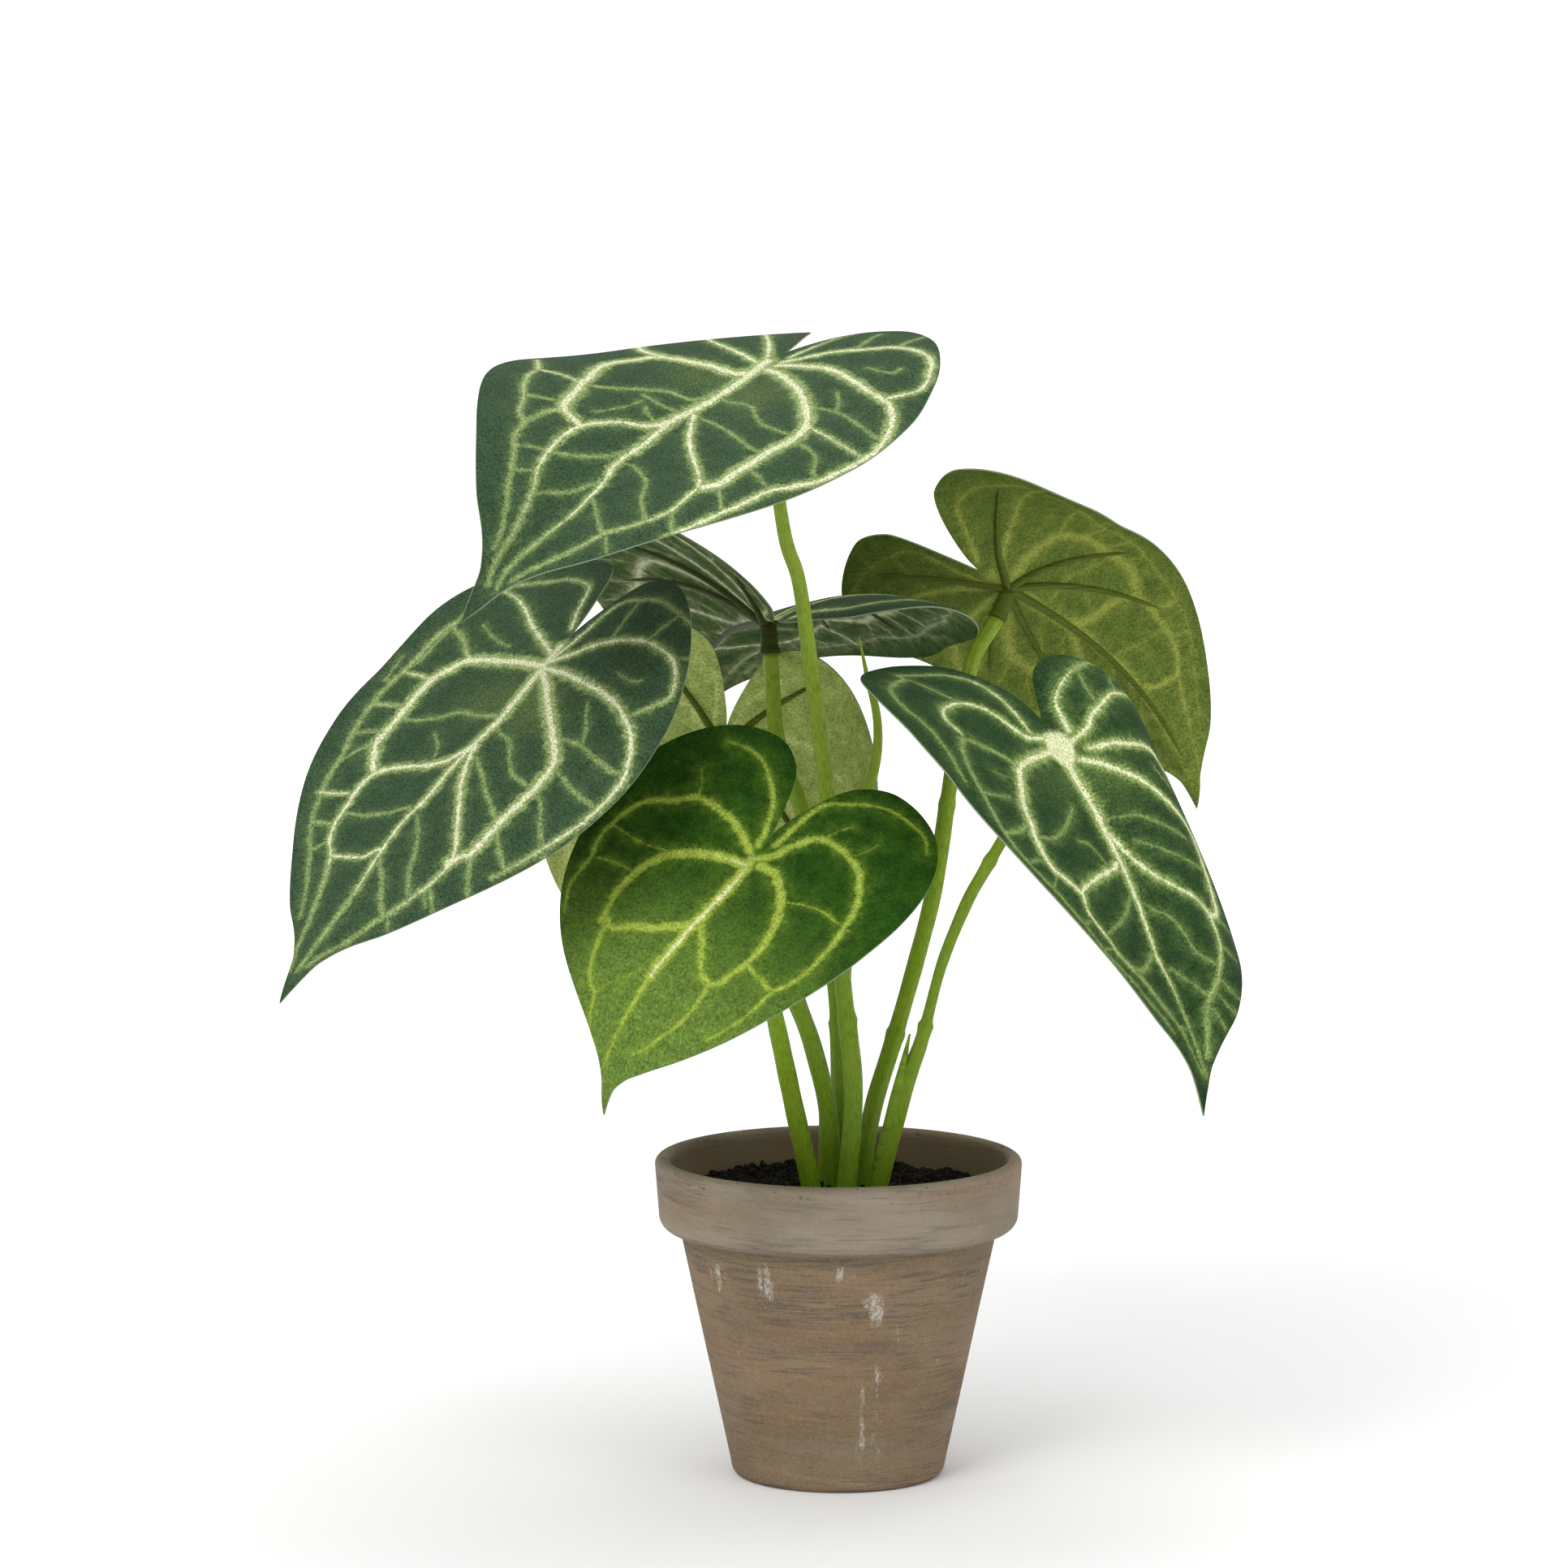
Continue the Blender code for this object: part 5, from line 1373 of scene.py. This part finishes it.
# Steps on a stem: height in metres, and the share that the radius loses above it
STEM_STEPS = {1: ((0.1525, 0.10),), 2: (), 3: ((0.1480, 0.10),), 4: ((0.1440, 0.08), (0.2150, 0.08)),
              5: (), 6: ((0.1510, 0.16), (0.2070, 0.10)), 7: ()}


def stepped(base, z, height, loss):
    """A radius that drops by the loss at a height, bulges just below it, and has grown back
    by the loss 5 cm above it."""
    base = base * (1 - loss * smooth_between(z, height - 0.0006, height + 0.0006))
    base = base * (1 + 1.3 * loss * np.exp(-((z - height + 0.001) / 0.0016) ** 2))
    return base * (1 + loss * smooth_between(z, height, height + 0.05))


def stem_radii(points, radii, seed, steps):
    """Radius for each place and angle: the even taper with its steps, times the grooves as
    cosines of 3 and 7 times the angle that wander slowly, times small waves along the rod."""
    place = np.linspace(0, 1, len(points))
    base = np.interp(place, np.linspace(0, 1, len(radii)), radii)
    for height, loss in steps:
        base = stepped(base, points[:, 2], height, loss)
    angle = angles_round(STEM_SIDES)[None]
    wander = 0.5 * np.sin(place * 7 + seed)[:, None]
    groove = 1 - GROOVE_DEPTH * np.maximum(0, np.cos(3 * (angle + wander) + seed)) ** 3
    groove = groove - 0.4 * GROOVE_DEPTH * np.cos(7 * angle + 2 * wander + 2 * seed)
    wave = 1 + 0.015 * np.sin(place * 60 + seed)[:, None]
    return base[:, None] * groove * wave


print("stems with steps:", [n for n, steps in STEM_STEPS.items() if steps])

# %% Make the stems from their routes
STEM_SPACING = 0.0015     # from one ring to the next
FIT_GAP = 0.0003          # between pieces that touch


def stem_route(route):
    """A route with its root: straight down into the soil from the first point."""
    x, y = route[0][:2]
    root = tuple((x, y, SOIL_TOP - depth) for depth in (ROOT_DEPTH, ROOT_DEPTH / 2, 0.0))
    return root + tuple(route[1:])


def make_stem(name, route, radii, seed, steps=(), heading=None):
    """A stem or shoot with a UV map of (cosine of the angle, decimetres along it)."""
    points, places = along_curve(stem_route(route), STEM_SPACING)
    verts, faces = tube(points, stem_radii(points, radii, seed, steps), heading)
    piece = mesh_piece(name, verts, faces, [stem_green])
    around = np.tile(np.cos(angles_round(STEM_SIDES)), len(points))
    along = np.repeat(places * 10, STEM_SIDES)
    add_uv(piece, np.column_stack([np.append(around, [0, 0]), np.append(along, [0, places[-1] * 10])]))
    return piece


for number, (route, radii) in STEMS.items():
    foot, away = rib_frames[number]
    full = route + (tuple(foot + FIT_GAP * away),)
    stem = make_stem(f"petiole_{number}", full, radii, number * 1.7, STEM_STEPS[number], -away)
    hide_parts(f"stem_{number}")
    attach(stem, "root")
    print(stem.name, len(stem.data.polygons), "faces")

# %% The sheath beside stem 6
SHEATH_SIDES = 20
points, places = along_curve(SHEATH_ROUTE, 0.001)
size = np.interp(np.linspace(0, 1, len(points)), np.linspace(0, 1, len(SHEATH_RADII)), SHEATH_RADII)
oval = 1 + 0.12 * np.cos(2 * angles_round(SHEATH_SIDES)[None])
verts, faces = tube(points, size[:, None] * oval)
sheath = mesh_piece("sheath_6", verts, faces, [stem_green])
add_uv(sheath, np.column_stack([np.zeros(len(verts)), verts[:, 2] * 10]))
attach(sheath, "root")
print(f"sheath: {1000 * places[-1]:.0f} mm long")

# %% The rolled shoot
shoot = make_stem("rolled_shoot", SHOOT_ROUTE, SHOOT_RADII, 3.1)
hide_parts("shoot")
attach(shoot, "root")
print("shoot:", len(shoot.data.polygons), "faces")

# %% [markdown]
# The clay pot
# A thrown or pressed pot is a turned profile: its wall goes round one axis. The Screw
# modifier could spin it, but a numpy grid of angle and profile also lets the surface waver a
# little, as clay does.

# %% Measures of the pot
POT_HEIGHT, RIM_RADIUS, NECK_RADIUS = 0.105, 0.060, 0.052
BAND_FOOT_RADIUS, BAND_HEIGHT, BAND_ROUND, LIP_ROUND = 0.0588, 0.0235, 0.0045, 0.0022
BASE_RADIUS, BASE_ROUND, MOUTH_RADIUS, WELL_RADIUS, POT_FLOOR = 0.035, 0.003, 0.055, 0.029, 0.007
def arc(centre, radius, start, end, count):
    """Points on an arc, angles in degrees."""
    angle = np.radians(np.linspace(start, end, count))
    return np.stack([centre[0] + radius * np.cos(angle), centre[1] + radius * np.sin(angle)], axis=1)


def straight(start, end, count):
    """Evenly spaced points of a straight stretch, without its ends."""
    t = np.linspace(0, 1, count + 2)[1:-1, None]
    return np.array(start) + t * (np.array(end) - np.array(start))


def inner_radius(height):
    """Radius of the pot's inner wall at a height."""
    return WELL_RADIUS + (MOUTH_RADIUS - WELL_RADIUS) * (height - POT_FLOOR) / (POT_HEIGHT - POT_FLOOR)


print(f"pot: {1000 * POT_HEIGHT:.0f} mm high, {2000 * RIM_RADIUS:.0f} mm across the rim")

# %% Profile of the pot
band_foot = POT_HEIGHT - BAND_HEIGHT
lip_foot = POT_HEIGHT - LIP_ROUND
WALL_BREAK = 0.085        # height at which the inner wall is cut into two stretches
wall_break = (inner_radius(WALL_BREAK), WALL_BREAK)
profile = np.vstack([
    [(0.0, 0.0)], straight((0.0, 0.0), (BASE_RADIUS - BASE_ROUND, 0.0), 4),
    arc((BASE_RADIUS - BASE_ROUND, BASE_ROUND), BASE_ROUND, -90, -8, 7),
    straight((BASE_RADIUS, BASE_ROUND), (NECK_RADIUS, band_foot), 36), [(NECK_RADIUS, band_foot)],
    arc((BAND_FOOT_RADIUS - BAND_ROUND, band_foot + BAND_ROUND), BAND_ROUND, -90, 0, 10),
    straight((BAND_FOOT_RADIUS, band_foot + BAND_ROUND), (RIM_RADIUS, lip_foot), 10),
    arc((RIM_RADIUS - LIP_ROUND, lip_foot), LIP_ROUND, 0, 90, 8),
    arc((MOUTH_RADIUS + LIP_ROUND, lip_foot), LIP_ROUND, 90, 180, 8),
    straight((MOUTH_RADIUS, lip_foot), wall_break, 8),
    [wall_break, (WELL_RADIUS, POT_FLOOR), (0.0, POT_FLOOR)]])
print("pot profile:", len(profile), "points")

# %% Turn the profile round the axis
POT_SIDES, POT_WAVER = 220, 0.0015


def turned(profile, sides, waver, seed):
    """Spin a profile of (radius, height) from axis to axis. Each radius is multiplied by
    1 + waver times a slow wave of angle and height. The two axis points close the mesh."""
    ring = profile[1:-1]
    angle, height = angles_round(sides), ring[:, 1:2]
    wave = 1 + waver * (np.sin(2 * angle + seed)[None] * np.cos(40 * height + seed)
                        + 0.5 * np.sin(5 * angle + 90 * height))
    r = ring[:, :1] * wave
    verts = np.stack([r * np.cos(angle), r * np.sin(angle), np.broadcast_to(height, r.shape)], -1)
    verts = np.vstack([verts.reshape(-1, 3), (0, 0, profile[0, 1]), (0, 0, profile[-1, 1])])
    return verts, ring_faces(len(ring), sides)


pot_verts, pot_faces = turned(profile, POT_SIDES, POT_WAVER, 1.0)
print("pot:", len(pot_verts), "corners")

# %% [markdown]
# Weathered clay
# Old clay is never one colour. Its finish is built in layers, each a noise mixed over the one
# before: two tones of the body, turning lines, bands and bristle strokes, dust, a darker brown
# inner wall under the lip, salt bloom that runs down, and small pits near the lip. A photo of clay
# would be quicker, but it shows a seam and doesn't scale, and each layer here can be set by itself.

# %% Two tones of clay, and the turning lines
clay, tree, shader = new_material("weathered clay", 0.88, Specular_IOR_Level=0.25)
where = put(tree, "ShaderNodeTexCoord").outputs["Object"]
x, y, z = split(tree, where)
BAND_EDGE = (band_foot - 0.002, band_foot + 0.003)    # heights between which the rim begins
cloud = ramp(tree, noise(tree, where, 22.0, 4.0, 0.6, stretch=(1, 1, 2.2)), 0.35, 0.65)
body = blend(tree, cloud, (0.165, 0.110, 0.058), (0.215, 0.152, 0.088))
grey = blend(tree, cloud, (0.215, 0.172, 0.125), (0.285, 0.238, 0.182))
colour = blend(tree, ramp(tree, z, *BAND_EDGE), body, grey)
# Turning lines: noise squeezed in height, on a plane that leans a little
tilted = calc(tree, "MULTIPLY_ADD", x, 0.10, z)
lined = put(tree, "ShaderNodeCombineXYZ", {
    0: calc(tree, "MULTIPLY", x, 14.0), 1: calc(tree, "MULTIPLY", y, 14.0),
    2: calc(tree, "MULTIPLY", tilted, 300.0)}).outputs[0]
lines = noise(tree, lined, 1.0, 5.0, 0.68)
colour = blend(tree, ramp(tree, lines, 0.52, 0.72, 0.0, 0.65), colour, (0.085, 0.068, 0.055))
colour = blend(tree, ramp(tree, lines, 0.46, 0.24, 0.0, 0.30), colour, (0.40, 0.31, 0.23))
print("the rim begins at", round(1000 * band_foot, 1), "mm")

# %% Bands, bristle strokes and dust
# Broad bands, more orange or more grey, and short dark strokes as thin as a bristle
flat_bands = noise(tree, where, 1.0, 4.0, 0.6, stretch=(9.0, 9.0, 85.0))
colour = blend(tree, ramp(tree, flat_bands, 0.46, 0.64, 0.0, 0.35), colour, (0.262, 0.155, 0.080))
colour = blend(tree, ramp(tree, flat_bands, 0.46, 0.32, 0.0, 0.30), colour, (0.180, 0.150, 0.112))
strokes = noise(tree, where, 1.0, 4.0, 0.7, stretch=(60.0, 60.0, 1700.0))
gather = noise(tree, where, 1.0, 2.0, 0.5, stretch=(14.0, 14.0, 80.0))
stroke = ramp(tree, calc(tree, "MULTIPLY_ADD", gather, 0.5, strokes), 0.78, 0.90)
on_body = ramp(tree, z, *BAND_EDGE, 0.80, 0.45)
colour = blend(tree, calc(tree, "MULTIPLY", stroke, on_body), colour, (0.085, 0.070, 0.056))
dust = noise(tree, where, 900.0, 3.0, 0.7, stretch=(1, 1, 1.6))
colour = blend(tree, ramp(tree, dust, 0.35, 0.75, 0.0, 0.28), colour, (0.34, 0.29, 0.225))
print("clay nodes so far:", len(tree.nodes))

# %% The inner wall
flat_place = put(tree, "ShaderNodeCombineXYZ", {0: x, 1: y}).outputs[0]
radius = put(tree, "ShaderNodeVectorMath", {0: flat_place}, operation="LENGTH").outputs["Value"]
# The inner wall near the top is a darker brown instead of the grey of the rim
inside = calc(tree, "MULTIPLY", ramp(tree, radius, 0.0553, 0.0545), ramp(tree, z, 0.0865, 0.0880))
colour = blend(tree, calc(tree, "MULTIPLY", inside, 0.85), colour, (0.185, 0.130, 0.078))
print("clay nodes so far:", len(tree.nodes))

# %% Salt bloom
# Ragged streaks that run down: a few patches in front, each with its place across, its height,
# its half width and half height in metres and its strength, and faint ones all round
SALT_PATCHES = ((-0.0220, 0.0705, 0.0035, 0.0085, 1.0), (0.0115, 0.0660, 0.0045, 0.0110, 0.85),
                (0.0120, 0.0440, 0.0035, 0.0120, 0.75), (0.0075, 0.0280, 0.0012, 0.0240, 0.85),
                (0.0160, 0.0520, 0.0080, 0.0090, 0.55), (-0.0380, 0.0720, 0.0060, 0.0060, 0.7),
                (0.0020, 0.0740, 0.0060, 0.0040, 0.30), (0.0450, 0.0730, 0.0030, 0.0060, 0.6))
streak = noise(tree, where, 150.0, 5.0, 0.8, stretch=(1, 1, 0.28))


def patch_at(x0, z0, wide, tall, strength):
    """A soft oval on the front of the pot: exp(-(dx/wide)^2 - (dz/tall)^2)."""
    dx = calc(tree, "DIVIDE", calc(tree, "SUBTRACT", x, x0), wide)
    dz = calc(tree, "DIVIDE", calc(tree, "SUBTRACT", z, z0), tall)
    square = calc(tree, "ADD", calc(tree, "MULTIPLY", dx, dx), calc(tree, "MULTIPLY", dz, dz))
    oval = calc(tree, "EXPONENT", calc(tree, "MULTIPLY", square, -1.0))
    return calc(tree, "MULTIPLY", oval, ramp(tree, y, 0.0, -0.01, 0.0, strength))


bloom = ramp(tree, noise(tree, where, 16.0, 2.0, 0.5), 0.60, 0.72, 0.0, 0.30)
for spot in SALT_PATCHES:
    bloom = calc(tree, "MAXIMUM", bloom, patch_at(*spot))
salt_grain = noise(tree, where, 700.0, 3.0, 0.75)
salt = ramp(tree, calc(tree, "MULTIPLY_ADD", bloom, 0.25, streak), 0.64, 0.76)
salt = calc(tree, "MULTIPLY", salt, ramp(tree, salt_grain, 0.42, 0.58, 0.25, 1.0))
colour = blend(tree, calc(tree, "MULTIPLY", salt, 0.60), colour, (0.60, 0.57, 0.51))
print("salt patches in front:", len(SALT_PATCHES))

# %% Pits, rust and the finished pot
# Small dark pits, most of them near the lip, and a few rusty specks
pits = noise(tree, where, 330.0, 4.0, 0.75, stretch=(1, 1, 1.8))
near_lip = ramp(tree, z, 0.085, 0.104, 0.0, 0.10)
pit = ramp(tree, calc(tree, "ADD", pits, near_lip), 0.72, 0.78)
colour = blend(tree, calc(tree, "MULTIPLY", pit, 0.85), colour, (0.040, 0.032, 0.026))
rust = ramp(tree, noise(tree, where, 170.0, 2.0, 0.5), 0.73, 0.78)
colour = blend(tree, calc(tree, "MULTIPLY", rust, 0.4), colour, (0.33, 0.15, 0.05))
height = calc(tree, "ADD", calc(tree, "MULTIPLY", lines, 0.6), calc(tree, "MULTIPLY", dust, 0.4))
height = calc(tree, "MULTIPLY_ADD", pit, -0.8, height)
finish_surface(tree, shader, colour, height, 0.5, 0.0004)

pot = mesh_piece("clay_pot", pot_verts, pot_faces, [clay])
pot.data.set_sharp_from_angle(angle=math.radians(50))
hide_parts("pot")
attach(pot, "root")
print("pot:", len(pot.data.polygons), "faces")

# %% [markdown]
# Soil
# Potting soil is a heap of crumbs. A bumpy disc would look like tar, so the top is a fine
# wavy surface with real crumbs pressed into it: each crumb is a small lumpy ball, and one
# formula makes them all at once.

# %% Dark soil
soil_mat, tree, shader = new_material("dark potting soil", 0.95, Specular_IOR_Level=0.2)
where = put(tree, "ShaderNodeTexCoord").outputs["Object"]
speck = noise(tree, where, 900.0, 3.0, 0.7)
colour = blend(tree, ramp(tree, speck, 0.4, 0.7), (0.007, 0.005, 0.004), (0.030, 0.022, 0.016))
finish_surface(tree, shader, colour, speck, 0.8, 0.0006)
print(soil_mat.name, "has", len(tree.nodes), "nodes")

# %% The wavy surface
SOIL_SIDES, SOIL_RINGS = 160, 60
SOIL_FOOT, SOIL_TAPER = POT_FLOOR + 0.0005, 0.55      # height and narrowing of its lower end


def broad_waves(x, y):
    """Lift of the soil: 0.6 mm times sin(310x + 1.3) cos(270y), and 0.6 mm times sin of
    170 (x - y)."""
    return 0.0006 * np.sin(310 * x + 1.3) * np.cos(270 * y) + 0.0006 * np.sin(170 * (x - y))


def soil_surface(radius):
    """A disc whose height is a sum of waves, closed below by a point at the pot's floor."""
    r = np.linspace(0.0, 1.0, SOIL_RINGS + 1)[1:, None] * radius
    angle = angles_round(SOIL_SIDES)[None]
    x, y = r * np.cos(angle), r * np.sin(angle)
    z = SOIL_TOP + (broad_waves(x, y) + 0.0004 * np.sin(900 * x + 2) * np.sin(1100 * y)
                    + 0.0003 * np.sin(2100 * x) * np.sin(1900 * y + 1))
    top = np.stack([x, y, z], -1).reshape(-1, 3)
    foot = np.stack([x[-1] * SOIL_TAPER, y[-1] * SOIL_TAPER, np.full(SOIL_SIDES, SOIL_FOOT)], -1)
    verts = np.vstack([top, foot, (0, 0, SOIL_TOP), (0, 0, SOIL_FOOT)])
    return verts, ring_faces(SOIL_RINGS + 1, SOIL_SIDES, inward=True)


print("corners of the surface:", len(soil_surface(inner_radius(SOIL_TOP))[0]))

# %% The crumbs
CRUMBS, CRUMB_SEED, CRUMB_MARGIN = 2800, 11, 0.0025
CRUMB_RINGS, CRUMB_SIDES = 4, 7


def unit_ball(rings, sides):
    """Points of a ball of radius 1: rings from pole to pole, then the two poles."""
    lat = np.pi * np.arange(1, rings + 1) / (rings + 1)
    lon = angles_round(sides)
    ball = np.stack([np.sin(lat)[:, None] * np.cos(lon), np.sin(lat)[:, None] * np.sin(lon),
                     np.repeat(np.cos(lat)[:, None], sides, axis=1)], -1).reshape(-1, 3)
    return np.vstack([ball, (0, 0, 1), (0, 0, -1)])


def crumbs(count, radius, seed):
    """Crumbs as lumpy balls of 30 points: unit directions times a radius that each point
    varies by itself, scaled, flattened and scattered evenly over a disc."""
    pick = np.random.default_rng(seed)
    ball = unit_ball(CRUMB_RINGS, CRUMB_SIDES)
    size = pick.uniform(0.0005, 0.0019, count) * pick.uniform(0.5, 1.0, count)
    lumps = ball[None] * pick.uniform(0.7, 1.2, (count, len(ball), 1)) * size[:, None, None]
    lumps *= pick.uniform(0.6, 1.4, (count, 1, 3))
    away, turn = radius * np.sqrt(pick.uniform(0, 1, count)), pick.uniform(0, TURN, count)
    x, y = away * np.cos(turn), away * np.sin(turn)
    z = SOIL_TOP + broad_waves(x, y) + size * 0.25
    verts = lumps + np.stack([x, y, z], -1)[:, None]
    one = ring_faces(CRUMB_RINGS, CRUMB_SIDES, inward=True)
    faces = [[v + n * len(ball) for v in cell] for n in range(count) for cell in one]
    return verts.reshape(-1, 3), faces


print("corners of one crumb:", len(unit_ball(CRUMB_RINGS, CRUMB_SIDES)))

# %% Make the soil
soil_radius = inner_radius(SOIL_TOP)
verts, faces = joined([soil_surface(soil_radius - FIT_GAP),
                       crumbs(CRUMBS, soil_radius - CRUMB_MARGIN, CRUMB_SEED)])
soil = mesh_piece("potting_soil", verts, faces, [soil_mat])
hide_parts("soil")
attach(soil, "root")
print("soil:", len(soil.data.polygons), "faces")

# %% [markdown]
# Light and camera
# The plant stands on a plain pale floor in soft studio light: one large light from the upper
# front, a weaker one from the right, one above behind the plant, and a bright even surround.
# The floor glows a little far out, so that it fades into the surround instead of ending in a
# line. The camera looks down by seven degrees from a little over two metres, through a long lens.

# %% The floor
FLOOR = 6.0               # half its side
floor_mat, tree, shader = new_material("pale floor", 0.9)
shader.inputs["Base Color"].default_value = (0.90, 0.90, 0.90, 1.0)
shader.inputs["Emission Color"].default_value = (1.0, 1.0, 1.0, 1.0)
where = put(tree, "ShaderNodeTexCoord").outputs["Object"]
away = put(tree, "ShaderNodeVectorMath", {0: where}, operation="LENGTH").outputs["Value"]
tree.links.new(ramp(tree, away, 0.3, 1.6, 0.0, 0.6), shader.inputs["Emission Strength"])
floor = mesh_piece("floor", [(-FLOOR, -FLOOR, 0), (FLOOR, -FLOOR, 0), (FLOOR, FLOOR, 0),
                             (-FLOOR, FLOOR, 0)], [(0, 1, 2, 3)], [floor_mat])
print("floor:", 2 * FLOOR, "m square")

# %% The lights and the surround
def area_light(name, place, target, size, power):
    """A square area light turned towards a point."""
    lamp = bpy.data.lights.new(name, "AREA")
    lamp.size, lamp.energy = size, power
    obj = bpy.data.objects.new(name, lamp)
    bpy.context.scene.collection.objects.link(obj)
    obj.location = place
    aim = np.array(target, float) - np.array(place, float)
    flat = math.hypot(aim[0], aim[1])
    obj.rotation_euler = (math.atan2(flat, -aim[2]), 0.0, math.atan2(-aim[0], aim[1]))


AIM = (0, 0, 0.2)
area_light("key light", (-1.1, -1.9, 2.0), AIM, 1.4, 42)
area_light("fill light", (1.8, -1.5, 1.0), AIM, 1.6, 7)
area_light("top light", (0.2, 0.6, 2.2), AIM, 1.6, 16)
world = bpy.data.worlds.new("studio surround")
bpy.context.scene.world = world
world.use_nodes = True
sky = world.node_tree
# The camera sees a surround of 1.15, and the plant is lit by one of 0.70
seen = put(sky, "ShaderNodeLightPath").outputs["Is Camera Ray"]
strength = calc(sky, "MULTIPLY_ADD", seen, 0.45, 0.70)
sky.links.new(strength, sky.nodes["Background"].inputs["Strength"])
sky.nodes["Background"].inputs["Color"].default_value = (1.0, 1.0, 1.0, 1.0)
print("lights:", [lamp.name for lamp in bpy.data.lights])

# %% The camera
camera = bpy.data.objects.new("camera", bpy.data.cameras.new("camera"))
bpy.context.scene.collection.objects.link(camera)
camera.location = (-0.0178, -2.1688, 0.4938)
camera.rotation_euler = (math.radians(83), 0.0, 0.0)
camera.data.lens = 154.42
camera.data.sensor_width = 36.0
camera.data.clip_start, camera.data.clip_end = 0.05, 50.0
bpy.context.scene.camera = camera
bpy.context.scene.view_settings.view_transform = "Standard"
print("camera:", round(math.dist(camera.location, AIM), 2), "m from the plant")

# %% [markdown]
# Count the triangles
# The triangles of every piece but the floor are counted, in all and in the largest piece.

# %% Count the triangles
triangles = {piece.name: len(piece.data.loops) - 2 * len(piece.data.polygons)
             for piece in bpy.context.scene.objects if piece.type == "MESH" and piece.name != "floor"
             and not piece.hide_render}
print("triangles:", sum(triangles.values()), "in all, at most", max(triangles.values()), "in a piece")
